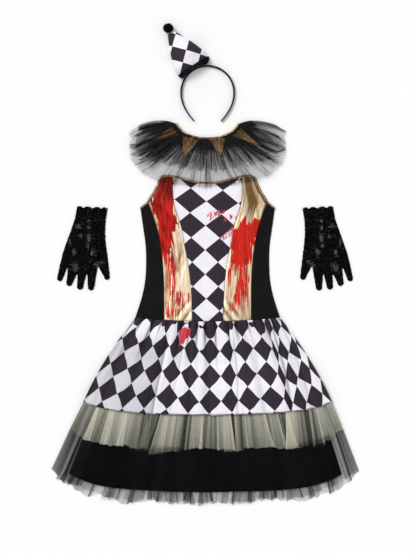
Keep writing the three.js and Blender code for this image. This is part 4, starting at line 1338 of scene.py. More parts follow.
# %% The paint on the foil
LEFT_PAINT = chart(
    "x y half_x half_y lean amount",
    (-106, 214, 30, 34, 0.1, 1.7),
    (-116, 165, 30, 44, 0.0, 1.5),
    (-107, 116, 26, 34, -0.15, 1.15),
    (-110, 64, 20, 52, -0.12, 0.84),
    (-101, 6, 18, 60, -0.12, 0.64),
    (-96, -58, 16, 44, 0.1, 0.62),
    (-90, -108, 18, 34, -0.1, 0.54),
    (-88, -34, 12, 50, 0.04, 0.56),
    (-74, -84, 17, 26, -0.1, 0.57),
    (-50, -88, 7, 16, 0.0, 0.6),
    (-104, -108, 8, 32, -0.05, 0.6),
    (-70, 50, 5, 40, -0.18, 0.46),
    (-54, -18, 5, 45, -0.05, 0.42),
)
RIGHT_PAINT = chart(
    "x y half_x half_y lean amount",
    (96, 76, 34, 36, 0.15, 1.1),
    (122, 96, 13, 26, 0.1, 0.9),
    (86, 30, 30, 40, 0.12, 0.84),
    (68, 5, 18, 36, 0.1, 0.62),
    (88, -38, 19, 60, 0.05, 0.66),
    (82, -100, 22, 34, 0.1, 0.5),
    (71, -94, 10, 38, 0.45, 0.64),
    (56, -40, 7, 60, 0.02, 0.5),
    (101, -62, 7, 66, 0.02, 0.5),
    (110, 40, 8, 44, 0.1, 0.54),
)
print("brush marks on the foil:", len(LEFT_PAINT) + len(RIGHT_PAINT))

# %% Foil panels
WET_Y = (120, 212)
# Each listed fold is lowered and painted with shade, or raised and painted with a highlight.
FOIL_FOLDS = chart(
    "x y to_x to_y half shade gleam",
    (-64, 44, -86, -28, 5.0, 0.6, 0.0),
    (-56, 8, -73, -66, 4.0, 0.0, 0.9),
    (-72, 118, -62, 60, 3.5, 0.0, 0.6),
    (107, 46, 97, -94, 4.0, 0.4, 0.0),
    (57, 20, 45, -68, 4.0, 0.0, 0.6),
    (63, -60, 54, -128, 3.5, 0.35, 0.0),
)


def fold_lines(x, y, kind):
    """The long folds of the foil listed in the chart, as a shade or as a gleam."""
    total = np.zeros(x.shape)
    for fold in FOIL_FOLDS:
        along = fold["to_x"] - fold["x"], fold["to_y"] - fold["y"]
        length = np.hypot(*along)
        share = ((x - fold["x"]) * along[0] + (y - fold["y"]) * along[1]) / length**2
        off = ((x - fold["x"]) * along[1] - (y - fold["y"]) * along[0]) / length
        within = ease(share, -0.1, 0.3) * (1 - ease(share, 0.7, 1.1))
        total += fold[kind] * within * np.exp(-((off / fold["half"]) ** 2))
    return total


def foil_panel_piece(where, way, strokes, seed):
    """One foil panel: long creases that run with the panel and a few slanting ones at its foot."""
    bound = BINDING - 1 + 2 * SEAM - HALF_SEAM

    def outer(y):
        """The outer seam, which swings inwards under the armhole's binding."""
        return cut_at("foil", y) - HALF_SEAM - bound * ramp(y, UNDERARM_Y - BINDING, UNDERARM_Y)

    edges = mirrored(lambda y: cut_at("centre", y) + HALF_SEAM, outer, way)
    grid = panel_grid(*edges, panel_top_y, 49, 221)
    x, y, across = grid
    fold = across if way > 0 else 1 - across
    slip = 0.0012 * y * way
    long_creases = 1.1 * wander(across + slip, 0.16, seed)
    long_creases = long_creases + 0.6 * wander(across + slip, 0.06, seed + 1)
    foot = ease(-y, 76, 118) * (1 - ease(fold, 0.45, 0.75))
    slope = np.abs(np.sin((fold * 46 + (y + 150) * 0.5) / 5.4))
    relief = 0.8 * long_creases + 2.2 * slope * foot - seamed(across, 1.0)
    relief = relief + fold_lines(x, y, "gleam") - 1.5 * fold_lines(x, y, "shade")
    if way < 0:
        wet = 0.34 * ease(y, *WET_Y) + 0.12 * ease(y, -20, 80) - 0.03
        wet = wet + 0.16 * wander(x + y, 22, seed + 2)
        brown = 0.0
    else:
        wet = 0.1 * wander(x, 9, seed + 3)
        # The right panel also turns brown towards its top.
        brown = 0.95 * ease(y, 105, 190) * np.exp(-(((across - 0.45) / 0.42) ** 2))
    # Painted shade in the creases' hollows, between the foot's slanting folds, along the listed folds
    # and at the seams.
    shade_in_hollows = 0.75 * np.clip(-long_creases, 0, 1) + 0.9 * foot * (1 - slope) ** 1.5
    shade_in_hollows = shade_in_hollows + fold_lines(x, y, "shade") + seamed(across, 0.5, 0.02)
    # Painted highlights on the creases' crests and the foot's folds, fading out towards the top.
    gleam = 0.7 * foot * ease(slope, 0.9, 1.0) + 0.7 * ease(long_creases, 0.5, 1.1)
    marks = {
        "shade": np.clip(brown + shade_in_hollows, 0, 0.95),
        "gleam": np.clip(gleam + fold_lines(x, y, "gleam"), 0, 1) * (1 - ease(y, 120, 205)),
        "paint": brushed(x, y, strokes),
        "wet": wet,
    }
    return panel("bodice_front_foil_" + where, grid, foil_panel, "foil", relief, marks=marks)


foils = [
    foil_panel_piece("left", -1, LEFT_PAINT, 131),
    foil_panel_piece("right", 1, RIGHT_PAINT, 141),
]
print("foil panels, square metres:", [round(cut_area(piece), 4) for piece in foils])

# %% Jersey sides and back
BACK_TOP_Y = 205


def jersey_side(where, way, seed):
    """A side panel, which drags slantwise between the bust and the waist."""
    edges = mirrored(lambda y: cut_at("foil", y) + HALF_SEAM, lambda y: cut_at("side", y), way)
    grid = panel_grid(*edges, lambda x: side_top_y(x) - BINDING - SEAM, 33, 141)
    x, y, across = grid
    drag = 1.6 * wander(y - 0.9 * np.abs(x), 30, seed) + 0.7 * wander(x + 0.2 * y, 18, seed + 1)
    relief = drag * np.sin(np.pi * across) - seamed(across, 0.8)
    return panel("bodice_front_side_" + where, grid, jersey, "jersey", relief)


sides = [jersey_side("left", -1, 151), jersey_side("right", 1, 161)]


def back_half(y):
    """Half the back's width: its armholes above, its side seams below."""
    armhole = cut_at("foil", np.maximum(y, UNDERARM_Y)) + 1.5
    side = cut_at("side", y)
    return side + (np.minimum(armhole, side) - side) * ramp(y, SIDE_TOP["outer_y"], UNDERARM_Y)


grid = panel_grid(lambda y: -back_half(y), back_half, lambda x: BACK_TOP_Y + 0 * x, 81, 121)
back = panel("bodice_back", grid, jersey, "jersey", 0.0)
print("back, square metres:", round(cut_area(back), 3))

# %% [markdown]
# ### Bindings
#
# The neck and the armholes are bound with a folded strip of foil, about five millimetres wide:
# two rounded edges with a stitched furrow between them. A section with that shape, carried along
# the edge of the cut, gives the two light lines, and painted shade in the furrow gives the dark
# one between them.

# %% Foil bindings
BINDING_SECTION = (
    (0, -0.6), (0.04, 0.25), (0.2, 0.75), (0.36, 0.45), (0.5, 0.1),
    (0.64, 0.45), (0.8, 0.75), (0.96, 0.25), (1, -0.6),
)


def binding(name, edge_x, edge_y, in_x, in_y, shade):
    """A strip along an edge, reaching inwards by its width, which in_x and in_y give."""
    section = np.array(BINDING_SECTION)
    down, rise = section[:, 0][:, None], section[:, 1][:, None]
    x = edge_x + in_x * down
    y = edge_y + in_y * down
    z = heights(name, x, y, 1) + rise
    # Painted shade darkens the furrow between the two rounded edges.
    furrow = np.exp(-(((down - 0.5) / 0.14) ** 2)) * 0.75
    marks = {"shade": np.clip(furrow + shade, 0, 1) * np.ones(x.shape)}
    piece = sheet_object(name, x, y, z, foil_trim, marks=marks, thick=1.0)
    return settle(piece, "foil", name)


NECK_HALF = 124.9
ARMHOLE_TOP_Y = 222
ARMHOLE_REACH = 4.0
along = np.linspace(-NECK_HALF, NECK_HALF, 260)
# Painted shade along the neck binding in random stretches; the armhole and underarm bindings get an
# even painted shade, the underarm ones most.
darker_patches = 0.12 * (0.5 + 0.5 * wander(along, 9, 171))
bindings = [binding("neck_binding", along, neckline_y(along), 0, -BINDING, darker_patches)]
for where, way in (("left", -1), ("right", 1)):
    rows = np.linspace(ARMHOLE_TOP_Y, UNDERARM_Y + SEAM, 70)[::way]
    edge = way * cut_at("foil", rows)
    bindings.append(binding("armhole_binding_" + where, edge, rows, -way * ARMHOLE_REACH, 0, 0.15))
    inner_x = cut_at("foil", UNDERARM_Y) + HALF_SEAM
    run = np.sort(way * np.linspace(inner_x, SIDE_TOP["outer_x"], 40))
    bindings.append(binding("underarm_binding_" + where, run, side_top_y(run), 0, -BINDING, 0.5))
print("bindings:", len(bindings))

# %% [markdown]
# ## Headband
#
# A springy plastic band, covered in black satin ribbon, lying on its edge. A rounded section is
# carried along its outline: a half circle over the crown and tails that curve inwards.

# %% Headband
HEADBAND = {"x": 0, "y": 447.3, "radius": 68.7, "thick": 4.8, "tip_thick": 3.2, "height": 9}
HEADBAND_TAIL = ((67.8, -15), (61.5, -36), (49.5, -57), (34.5, -75.5))
crown = HEADBAND["radius"]
turns = np.radians(np.arange(90, -1, -9))
half = [(crown * math.cos(a), crown * math.sin(a)) for a in turns] + list(HEADBAND_TAIL)
outline = np.array([(-px, py) for px, py in reversed(half[1:])] + half)
run = np.concatenate([[0], np.cumsum(np.hypot(*np.diff(outline, axis=0).T))])
steps = np.linspace(0, run[-1], 220)
middle = np.stack([curve(run, outline[:, i], steps) for i in (0, 1)], -1)
tangent = np.gradient(middle, axis=0)
tangent /= np.hypot(*tangent.T)[:, None]
nearness = ramp(np.abs(steps / run[-1] - 0.5), 0.25, 0.5)
thickness = HEADBAND["thick"] + (HEADBAND["tip_thick"] - HEADBAND["thick"]) * nearness
ends = np.minimum(steps, run[-1] - steps)
closing = np.sqrt(np.clip(1 - (1 - np.clip(ends / 4, 0, 1)) ** 2, 0.0, 1))
turn = whole_turn(20)[:, None]
across = np.sign(np.cos(turn)) * np.abs(np.cos(turn)) ** 0.6
across = across * thickness / 2 * (0.15 + 0.85 * closing)
rise = np.sign(np.sin(turn)) * np.abs(np.sin(turn)) ** 0.45
rise = rise * HEADBAND["height"] / 2 * (0.4 + 0.6 * closing)
x = HEADBAND["x"] + middle[:, 0] - tangent[:, 1] * across
y = HEADBAND["y"] + middle[:, 1] + tangent[:, 0] * across
z = HEADBAND["height"] / 2 + rise
print("headband's length along its middle, mm:", round(float(run[-1])))

# %% Ribbon and the band's ends


def satin_black(name, roughness):
    """Black satin ribbon: fine ribs across it and a broad soft shine."""
    made, tree, shader = new_material(name)
    shade = grouped(tree, mottle, Scale=60.0)
    black = mix(tree, shade, (0.004, 0.004, 0.005, 1), (0.009, 0.009, 0.011, 1))
    tree.links.new(black, shader.inputs["Base Color"])
    finish(shader, roughness, 0.12)
    fine = bumped(tree, shader, grouped(tree, weave, Threads_per_metre=900.0), 0.0002, 0.6)
    bumped(tree, shader, shade, 0.001, 0.6, fine)
    return made


ribbon = satin_black("ribbon", 0.36)
headband = sheet_object("headband", x.T, y.T, z.T, ribbon, closed=True)


def cap_ends(piece):
    """Closes the two open ends of a tube and turns its faces outwards."""
    tube = bmesh.new()
    tube.from_mesh(piece.data)
    edges = [e for e in tube.edges if e.is_boundary]
    bmesh.ops.holes_fill(tube, edges=edges, sides=0)
    bmesh.ops.recalc_face_normals(tube, faces=tube.faces)
    tube.to_mesh(piece.data)
    tube.free()
    piece.data.shade_smooth()


cap_ends(headband)
settle(headband, "plastic", "headband")
print("headband faces:", len(headband.data.polygons))

# %% [markdown]
# ## The small hat
#
# A stiffened cone of the check lies on its side, with a felt base that joins it to the headband
# and a black pompom at its point. The cone is a lofted shell; the print runs slantwise round it.

# %% Hat cone
HAT = {"x": -100, "y": 609, "along_x": 0.543, "along_y": -0.84}
HAT_RINGS = chart(
    "along half height",
    (8.7, 9.6, 13.2), (26, 18.5, 21), (50, 29, 31), (80, 40.5, 40), (100, 46, 43),
    (112, 46.5, 40),
)
HAT_PRINT = {"x": -55.1, "y": 554.1, "first": (36.4, -10.9), "second": (-8.8, -32.5)}


def on_hat(along, across):
    """The place of a point along and across the hat."""
    x = HAT["x"] + HAT["along_x"] * along - HAT["along_y"] * across
    return x, HAT["y"] + HAT["along_y"] * along + HAT["along_x"] * across


keys = column_of(HAT_RINGS, "along")
along, turn = np.meshgrid(np.linspace(keys[0], keys[-1], 60), whole_turn(96))
half_width, tall = (curve(keys, column_of(HAT_RINGS, name), along) for name in ("half", "height"))
across = half_width * np.cos(turn)
x, y = on_hat(along, across)
z = tall / 2 * (1 + np.sin(turn))
dent = 0.8 * wander(along + 20 * turn, 22, 181)
z = np.clip(z - np.abs(dent) * np.clip(np.sin(turn), 0, 1), 0, None)
off_x, off_y = x - HAT_PRINT["x"], y - HAT_PRINT["y"]
first, second = HAT_PRINT["first"], HAT_PRINT["second"]
span = first[0] * second[1] - first[1] * second[0]
print_a = (off_x * second[1] - second[0] * off_y) / span
print_b = (first[0] * off_y - first[1] * off_x) / span
# Painted shade in random creases towards the cone's mouth.
creased = 0.25 * ease(wander(along + 12 * turn, 15, 182), 0.1, 0.9) * ease(along, 60, 100)
marks = {"shade": creased.T, "paint": 0.0}
cut = (print_a.T, print_b.T)
hat_cone = sheet_object("hat_cone", x.T, y.T, z.T, check, uv=cut, marks=marks, closed=True)
cap_ends(hat_cone)
settle(hat_cone, "check", "hat_cone")
print("hat cone, mm long:", keys[-1] - keys[0])

# %% Felt base
HAT_BASE = {"depth": 12, "half": 47, "shift": 2, "mouth_height": 30, "band_height": 10, "edge": 4}
share, row = np.meshgrid(np.linspace(-1, 1, 61), np.linspace(0, 1, 14))
band = (HEADBAND["x"] - HAT["x"], HEADBAND["y"] - HAT["y"])
band_along = HAT["along_x"] * band[0] + HAT["along_y"] * band[1]
band_across = HAT["along_x"] * band[1] - HAT["along_y"] * band[0]
outer = HEADBAND["radius"] + HEADBAND["thick"] / 2 + 2 * SEAM
mouth = keys[-1]
across = share * HAT_BASE["half"] + HAT_BASE["shift"]
near = band_along - np.sqrt(outer**2 - (across - band_across) ** 2)
far = np.minimum(near, mouth + HAT_BASE["edge"] + HAT_BASE["depth"] * (1 - share**8))
along = mouth + SEAM + (far - mouth - SEAM) * row
bend = HAT_BASE["mouth_height"]
bend = bend + (HAT_BASE["band_height"] - HAT_BASE["mouth_height"]) * ease(row, 0, 1)
z = bend * np.sqrt(1 - share**2) + HAT_BASE["edge"] + 0.5 * wander(share * 50 + row * 9, 3, 191)
x, y = on_hat(along, across)
hat_base = sheet_object("hat_base", x, y, z, felt, thick=3.5)
settle(hat_base, "lining", "hat_base")
print("felt base faces:", len(hat_base.data.polygons))

# %% [markdown]
# ### Pompom
#
# A pompom is hundreds of yarn ends that stand out from a knot. Geometry Nodes scatters points on
# a ball, stands a thin four-sided tuft on each, leans and scales them at random, and makes the
# lot one mesh.

# %% Helpers for Geometry Nodes


def geometry_tree(name, inputs):
    """A node tree for a modifier, with its inputs: returns the tree and its two ends."""
    tree = bpy.data.node_groups.new(name, "GeometryNodeTree")
    tree.interface.new_socket("Geometry", in_out="INPUT", socket_type="NodeSocketGeometry")
    tree.interface.new_socket("Geometry", in_out="OUTPUT", socket_type="NodeSocketGeometry")
    for label, (kind, value) in inputs.items():
        socket = tree.interface.new_socket(label, in_out="INPUT", socket_type=kind)
        if value is not None:
            socket.default_value = value
    return tree, tree.nodes.new("NodeGroupInput"), tree.nodes.new("NodeGroupOutput")


def grown(name, start, tree, values):
    """Runs a tree on a start mesh and returns the result as a plain object."""
    seed_object = bpy.data.objects.new(name + "_start", start)
    scene.collection.objects.link(seed_object)
    nodes_modifier = seed_object.modifiers.new("grow", "NODES")
    nodes_modifier.node_group = tree
    for item in tree.interface.items_tree:
        if item.in_out == "INPUT" and item.name in values:
            nodes_modifier[item.identifier] = values[item.name]
    evaluated = seed_object.evaluated_get(bpy.context.evaluated_depsgraph_get())
    mesh = bpy.data.meshes.new_from_object(evaluated)
    mesh.name = name
    bpy.data.objects.remove(seed_object)
    piece = bpy.data.objects.new(name, mesh)
    scene.collection.objects.link(piece)
    return piece


print("helpers for Geometry Nodes:", geometry_tree.__name__, grown.__name__)

# %% Yarn
yarn, yarn_tree, shader = new_material("yarn")
shade = grouped(yarn_tree, mottle, Scale=300.0)
black = mix(yarn_tree, shade, (0.0015, 0.0015, 0.0016, 1), (0.006, 0.006, 0.0065, 1))
yarn_tree.links.new(black, shader.inputs["Base Color"])
finish(shader, 0.9, 0.05, 0.02)
print("yarn:", yarn.name)

# %% Pompom by Geometry Nodes
POMPOM = {"x": -102, "y": 613.2, "radius": 13.8, "squash": 0.92}
YARN_ENDS = 3.2
fuzz, given, result = geometry_tree("pompom yarn", {
    "Tufts per square metre": ("NodeSocketFloat", 480000.0),
    "Length": ("NodeSocketFloat", 0.0034),
    "Width": ("NodeSocketFloat", 0.0009),
    "Yarn": ("NodeSocketMaterial", None),
})
scatter = node(fuzz, "GeometryNodeDistributePointsOnFaces", {
    "Mesh": given.outputs["Geometry"],
    "Density": given.outputs["Tufts per square metre"],
    "Seed": 4,
})
tuft = node(fuzz, "GeometryNodeMeshCone", {
    "Vertices": 4,
    "Radius Top": 0.0002,
    "Radius Bottom": given.outputs["Width"],
    "Depth": given.outputs["Length"],
})
lean = {0: (-0.5, -0.5, -0.5), 1: (0.5, 0.5, 0.5), "Seed": 8}
tilt = node(fuzz, "FunctionNodeRandomValue", lean, data_type="FLOAT_VECTOR")
leaning = {0: scatter.outputs["Rotation"], 1: tilt.outputs[0]}
turned = node(fuzz, "FunctionNodeRotateRotation", leaning)
size = node(fuzz, "FunctionNodeRandomValue", {2: 0.6, 3: 1.3, "Seed": 9}, data_type="FLOAT")
standing = node(fuzz, "GeometryNodeInstanceOnPoints", {
    "Points": scatter.outputs["Points"],
    "Instance": tuft.outputs["Mesh"],
    "Rotation": turned.outputs[0],
    "Scale": size.outputs[1],
})
whole = node(fuzz, "GeometryNodeRealizeInstances", {0: standing.outputs[0]})
both = node(fuzz, "GeometryNodeJoinGeometry", {0: whole.outputs[0]})
fuzz.links.new(given.outputs["Geometry"], both.inputs[0])
dyed = {"Geometry": both.outputs[0], "Material": given.outputs["Yarn"]}
dyed = node(fuzz, "GeometryNodeSetMaterial", dyed)
fuzz.links.new(dyed.outputs[0], result.inputs["Geometry"])

turn, rings = np.meshgrid(whole_turn(32), np.linspace(0.02, np.pi - 0.02, 18))
core = POMPOM["radius"] - YARN_ENDS
lumps = core * (1 + 0.04 * wander(3 * turn + 5 * rings, 1.0, 201))
flat = POMPOM["squash"]
x = POMPOM["x"] + lumps * np.sin(rings) * np.cos(turn)
y = POMPOM["y"] + flat * lumps * np.sin(rings) * np.sin(turn)
z = POMPOM["radius"] * flat + 1.6 + flat * lumps * np.cos(rings)
ball = sheet_object("pompom_core", x, y, z, yarn, closed=True)
cap_ends(ball)
pompom = grown("hat_pompom_yarn", ball.data, fuzz, {"Yarn": yarn})
bpy.data.objects.remove(ball)
settle(pompom, "pile", "hat_pompom")
print("pompom faces:", len(pompom.data.polygons))

# %% [markdown]
# ## Gloves
#
# Each glove is two flat layers of stretch lace, sewn round the edge, so empty it lies almost
# flat with slightly rounded rims. Its outline is the solids': the palm's edges and five round
# fingertips. A triangulation that respects the outline fills it, and each point rises with its
# distance from the rim.

# %% Glove outline
GLOVE = {"left_x": -305, "right_x": 291.5, "y": 117, "tilt": -0.05}
PALM_EDGE = chart(
    "y low_x high_x",
    (0, -40, 40), (-32, -49, 39.8), (-62, -58.5, 43.5), (-90, -66.5, 48.7), (-120, -72.5, 54),
)
FINGERS = chart(
    "tip_x tip_y radius fork_x fork_y",
    (-71.2, -164.2, 7.4, -52.9, -130.2),
    (-45.9, -175.4, 8, -26.8, -145.5),
    (-17.7, -183.4, 8.2, -2.1, -143.6),
    (10.8, -184, 8.2, 26.8, -122.8),
    (51, -154.4, 7.4, 0, 0),
)


def glove_outline():
    """The glove's flat outline in its own place, counter-clockwise."""
    wrist, knuckles = PALM_EDGE[0], PALM_EDGE[-1]
    outline = [(wrist["high_x"], wrist["y"])] + [(row["low_x"], row["y"]) for row in PALM_EDGE]
    for i, finger in enumerate(FINGERS):
        last = i == len(FINGERS) - 1
        start = knuckles["low_x"] if i == 0 else FINGERS[i - 1]["fork_x"]
        end = knuckles["high_x"] if last else finger["fork_x"]
        lean = math.atan2(finger["tip_x"] - (start + end) / 2, knuckles["y"] - finger["tip_y"])
        for step in np.radians(np.arange(-100, 101, 20)) + lean:
            tip_x = finger["tip_x"] + finger["radius"] * math.sin(step)
            outline.append((tip_x, finger["tip_y"] + finger["radius"] * (1 - math.cos(step))))
        if not last:
            outline += [(finger["fork_x"] + side, finger["fork_y"] + 1) for side in (-1.5, 1.5)]
    return np.array(outline + [(row["high_x"], row["y"]) for row in reversed(PALM_EDGE[1:])])


def along_outline(outline, pitch):
    """Points every pitch round a closed outline."""
    ring = np.vstack([outline, outline[:1]])
    run = np.concatenate([[0], np.cumsum(np.hypot(*np.diff(ring, axis=0).T))])
    at = np.linspace(0, run[-1], int(run[-1] / pitch), endpoint=False)
    return np.stack([np.interp(at, run, ring[:, i]) for i in (0, 1)], -1)


def inside(points, outline):
    """Which points lie inside a closed outline."""
    x, y = points[:, 0][:, None], points[:, 1][:, None]
    a, b = outline, np.roll(outline, -1, axis=0)
    crosses = (a[:, 1] > y) != (b[:, 1] > y)
    rise = np.where(a[:, 1] == b[:, 1], 1e-9, b[:, 1] - a[:, 1])
    crossing_x = (b[:, 0] - a[:, 0]) * (y - a[:, 1]) / rise + a[:, 0]
    return (crosses & (x < crossing_x)).sum(1) % 2 == 1


def distance_to(points, outline):
    """Each point's distance from the nearest point of an outline."""
    return np.sqrt(((points[:, None, :] - outline[None]) ** 2).sum(2)).min(1)


print("points of the glove's outline:", len(glove_outline()))

# %% The outline filled with points
GLOVE_PITCH = 2.6
outline = along_outline(glove_outline(), GLOVE_PITCH)
low, high = outline.min(0), outline.max(0)
grid_x, grid_y = np.meshgrid(*(np.arange(low[i], high[i], GLOVE_PITCH) for i in (0, 1)))
grid_x[::2] += GLOVE_PITCH / 2
candidates = np.stack([grid_x.ravel(), grid_y.ravel()], -1)
far_in = distance_to(candidates, outline) > 0.6 * GLOVE_PITCH
candidates = candidates[inside(candidates, outline) & far_in]
cloud = np.vstack([outline, candidates])
ring = [(i, (i + 1) % len(outline)) for i in range(len(outline))]
filled = geometry.delaunay_2d_cdt([Vector(p) for p in cloud], ring, [], 1, 1e-4)
flat_points, flat_faces = np.array([tuple(p) for p in filled[0]]), filled[2]
rim = distance_to(flat_points, outline)
print("glove points:", len(flat_points))

# %% Lace material
lace, tree, shader = new_material("lace")
FLOWERS_PER_METRE = 62.0
place = coordinates(tree, (FLOWERS_PER_METRE, FLOWERS_PER_METRE, 0.0))
blooms = node(tree, "ShaderNodeTexVoronoi", {"Vector": place, "Scale": 1.0, "Randomness": 0.75})
middle = {0: place, 1: blooms.outputs["Position"]}
away = node(tree, "ShaderNodeVectorMath", middle, operation="SUBTRACT")
out = node(tree, "ShaderNodeSeparateXYZ", {0: away.outputs[0]})
angle = maths(tree, "ARCTAN2", out.outputs[1], out.outputs[0])
petal = maths(tree, "COSINE", maths(tree, "MULTIPLY", angle, 5.0))
petal = maths(tree, "MULTIPLY_ADD", petal, 0.09, 0.34)
flower = between(tree, maths(tree, "SUBTRACT", petal, blooms.outputs["Distance"]), -0.03, 0.04)
twigs = {"Vector": place, "Scale": 2.4}
sprigs = node(tree, "ShaderNodeTexVoronoi", twigs, feature="DISTANCE_TO_EDGE")
sprig = between(tree, sprigs.outputs["Distance"], 0.1, 0.03)
thread = maths(tree, "MAXIMUM", flower, sprig)
cloud = grouped(tree, mottle, Scale=260.0, Detail=4.0)
open_net = maths(tree, "MULTIPLY_ADD", maths(tree, "SUBTRACT", cloud, 0.5), 3.2, mark(tree, "sheer"))
open_net = between(tree, open_net, 0.36, 0.85)
bare = maths(tree, "SUBTRACT", 1.0, maths(tree, "MULTIPLY", thread, 0.5))
faint = mix(tree, thread, (0.003, 0.003, 0.0032, 1), (0.0004, 0.0004, 0.0005, 1))
shade = mix(tree, maths(tree, "MULTIPLY", open_net, bare), faint, (0.1, 0.1, 0.106, 1))
tree.links.new(shade, shader.inputs["Base Color"])
finish(shader, 0.45, 0.03)
bumped(tree, shader, thread, 0.0014, 1.0)
print("lace:", lace.name)

# %% The hand's place and its sheer spots
SHEER_SPOTS = chart(
    "x y half_x half_y",
    (-4, -2, 4, 9), (-3, -22, 4, 6), (-1, -48, 6, 13), (-3, -68, 4, 9), (-22, -45, 5, 5),
    (-50, -60, 3, 11), (-37, -88, 5, 9), (10, -86, 5, 10), (-33, -126, 9, 11),
    (25, -118, 7, 7), (35, -109, 7, 4), (-30, -20, 8, 6),
)


def hand_place(way, where_x, px, py):
    """Turns a point of the glove drawing into its place on the table."""
    turn = way * GLOVE["tilt"]
    px = way * px
    x = where_x + px * math.cos(turn) - py * math.sin(turn)
    return x, GLOVE["y"] + px * math.sin(turn) + py * math.cos(turn)


def sheer(px, py):
    """Where the lace is stretched open, from spots along the middle of the hand."""
    open_share = np.zeros(px.shape)
    for spot in SHEER_SPOTS:
        far = ((px - spot["x"]) / spot["half_x"]) ** 2 + ((py - spot["y"]) / spot["half_y"]) ** 2
        open_share = np.maximum(open_share, np.exp(-far))
    return open_share


print("sheer spots on each hand:", len(SHEER_SPOTS))

# %% Glove layers
PALM_LIES = {"low": 1.0, "rises": 0.5}
BACK_LIES = {"low": 2.3, "rises": 2.0}


def glove_layer(where, way, where_x, layer, seed):
    """One layer of the glove: the palm lies flat, the back is softly rounded over it."""
    px, py = flat_points[:, 0], flat_points[:, 1]
    edge = 1 - np.clip(rim / 4, 0, 1)
    wavy = 0.8 * wander(px + 1.7 * py, 5, seed + 3) * edge
    x, y = hand_place(way, where_x, px + wavy, py + 0.4 * wavy)
    full = np.sqrt(1 - (1 - np.clip(rim / 6.5, 0, 1)) ** 2)
    inner = np.clip(rim / 8, 0, 1)
    crumple = 0.9 * wander(py + 0.6 * px, 9, seed) + 0.6 * wander(px - 0.5 * py, 7, seed + 1)
    if layer == "palm":
        z = PALM_LIES["low"] + PALM_LIES["rises"] * full
    else:
        z = BACK_LIES["low"] + BACK_LIES["rises"] * full + crumple * inner
    name = "glove_" + where + "_" + layer
    mesh = bpy.data.meshes.new(name)
    faces = [tuple(f) if way > 0 else tuple(reversed(f)) for f in flat_faces]
    mesh.from_pydata(to_frame(x, y, z).tolist(), [], faces)
    opened = mesh.attributes.new("sheer", "FLOAT", "POINT")
    opened.data.foreach_set("value", sheer(px, py).astype(np.float32))
    mesh.shade_smooth()
    mesh.materials.append(lace)
    piece = bpy.data.objects.new(name + "_cloth", mesh)
    scene.collection.objects.link(piece)
    thicken(piece, 0.7)
    return settle(piece, "lace", name)


print("faces of a glove layer:", len(flat_faces))

# %% Frills, and both gloves
FRILL = {"length": 31, "half": 40, "flare": -0.5, "drift": 3, "height": 3, "ripple": 0.9, "waves": 9}
SCALLOPS = 5
FRILL_LOW_Z = 0.6


def glove_frill(where, way, where_x, seed):
    """The gathered frill round the wrist: a flattened ring of lace with a scalloped edge."""
    turn, end = np.meshgrid(whole_turn(300), np.linspace(0, 1, 20))
    wave = FRILL["ripple"] * end * np.sin(FRILL["waves"] * turn + 0.6 * np.sin(2 * turn + seed))
    middle = FRILL["height"] / 2 + FRILL["ripple"]
    half = FRILL["half"] + end * FRILL["flare"] + 1.2 * end * np.sin(5 * turn + seed)
    lobes = np.abs(np.cos(SCALLOPS * turn + 0.35 * np.sin(turn + seed)))
    small = np.sin(23 * turn + 2 * np.sin(3 * turn))
    scallop = end**2 * (4.6 * (lobes - 0.62) + 0.7 * small)
    px = half * np.cos(turn) + end * FRILL["drift"]
    py = 0.5 + end * FRILL["length"] + scallop
    z = np.maximum(middle + (FRILL["height"] / 2 + wave) * np.sin(turn), FRILL_LOW_Z)
    x, y = hand_place(way, where_x, px, py)
    name = "glove_" + where + "_frill"
    marks = {"sheer": 0.35 * np.clip(np.sin(4 * turn + seed), 0, 1) ** 3 * end}
    piece = sheet_object(name, x, y, z, lace, marks=marks, closed=True, face_down=way < 0)
    thicken(piece, 0.5)
    return settle(piece, "lace", name)


for where, way, where_x in (("left", 1, GLOVE["left_x"]), ("right", -1, GLOVE["right_x"])):
    for i, layer in enumerate(("palm", "back")):
        glove_layer(where, way, where_x, layer, 211 + i + 10 * (way > 0))
    glove_frill(where, way, where_x, 221)

# %% [markdown]
# ## Stitching
#
# The bindings and the ruff's band are topstitched, and the check's raw hem is overlocked in dark
# thread. Every line is the same small stitch repeated along a path, which Geometry Nodes does
# with one tree: a line becomes a curve, the curve becomes evenly spaced points, and each point
# carries a short piece of thread that lies along the line.

# %% Threads


def sewing_thread(name, colour, roughness):
    """Plain thread, too thin to need more than a colour."""
    made, _, shader = new_material(name)
    shader.inputs["Base Color"].default_value = colour
    shader.inputs["Roughness"].default_value = roughness
    return made


thread_dark = sewing_thread("thread_dark", (0.012, 0.01, 0.011, 1), 0.7)
thread_gold = sewing_thread("thread_gold", (0.26, 0.15, 0.06, 1), 0.6)
print("threads:", thread_dark.name, thread_gold.name)

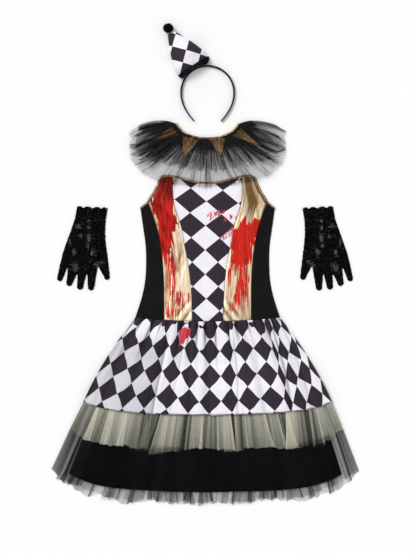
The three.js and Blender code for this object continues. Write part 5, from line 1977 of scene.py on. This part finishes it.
# %% Stitches by Geometry Nodes
stitch_tree, given, result = geometry_tree("stitch line", {
    "Pitch": ("NodeSocketFloat", 0.003),
    "Length": ("NodeSocketFloat", 0.002),
    "Radius": ("NodeSocketFloat", 0.0003),
    "Thread": ("NodeSocketMaterial", None),
})
line = node(stitch_tree, "GeometryNodeMeshToCurve", {"Mesh": given.outputs["Geometry"]})
spaced = {"Curve": line.outputs[0], "Length": given.outputs["Pitch"]}
spots = node(stitch_tree, "GeometryNodeCurveToPoints", spaced, mode="LENGTH")
shape = {"Vertices": 5, "Radius": given.outputs["Radius"], "Depth": given.outputs["Length"]}
one = node(stitch_tree, "GeometryNodeMeshCylinder", shape)
row = node(stitch_tree, "GeometryNodeInstanceOnPoints", {
    "Points": spots.outputs["Points"],
    "Instance": one.outputs["Mesh"],
    "Rotation": spots.outputs["Rotation"],
})
joined = node(stitch_tree, "GeometryNodeRealizeInstances", {0: row.outputs[0]})
dyed = {"Geometry": joined.outputs[0], "Material": given.outputs["Thread"]}
dyed = node(stitch_tree, "GeometryNodeSetMaterial", dyed)
stitch_tree.links.new(dyed.outputs[0], result.inputs["Geometry"])
print("nodes in the stitch tree:", len(stitch_tree.nodes))

# %% Stitch lines


def stitched(name, x, y, z, thread, pitch, length, radius):
    """A line of stitches along points in mm."""
    path = bpy.data.meshes.new(name + "_path")
    steps = [(i, i + 1) for i in range(len(x) - 1)]
    path.from_pydata(to_frame(x, y, z).tolist(), steps, [])
    values = {"Pitch": pitch * MM, "Length": length * MM, "Radius": radius * MM, "Thread": thread}
    piece = grown(name, path, stitch_tree, values)
    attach(piece, "root")
    return piece


def top_of(piece, x, y):
    """The height of a finished cloth in mm at each point."""
    tree = tree_of(piece.data)
    starts = to_frame(x, y, np.full(x.shape, FAR_OFF))
    hits = [tree.ray_cast(Vector(p), Vector((0, 0, -1)))[0] for p in starts]
    found = np.array([h.z / MM if h else np.nan for h in hits])
    good = ~np.isnan(found)
    return np.interp(np.arange(len(x)), np.flatnonzero(good), found[good])


for binding_piece in bindings + bands:
    grid_points = np.array([v.co for v in binding_piece.data.vertices]) / MM
    count = len(BINDING_SECTION) if binding_piece in bindings else 7
    middle = grid_points.reshape(count, -1, 3)[count // 2]
    name = binding_piece.name.replace("_cloth", "_stitches")
    x, y, z = middle[:, 0] - CENTRE_FRONT_X, middle[:, 1], middle[:, 2] + 0.25
    stitched(name, x, y, z, thread_gold, 3.2, 2.2, 0.3)
across = np.linspace(-0.985, 0.985, 400)
x, y = skirt_place(across, np.full(across.shape, 0.993))
z = top_of(check_front, x, y) + 0.2
hem = stitched("skirt_check_hem_overlock", x, y, z, thread_dark, 1.5, 1.3, 0.55)
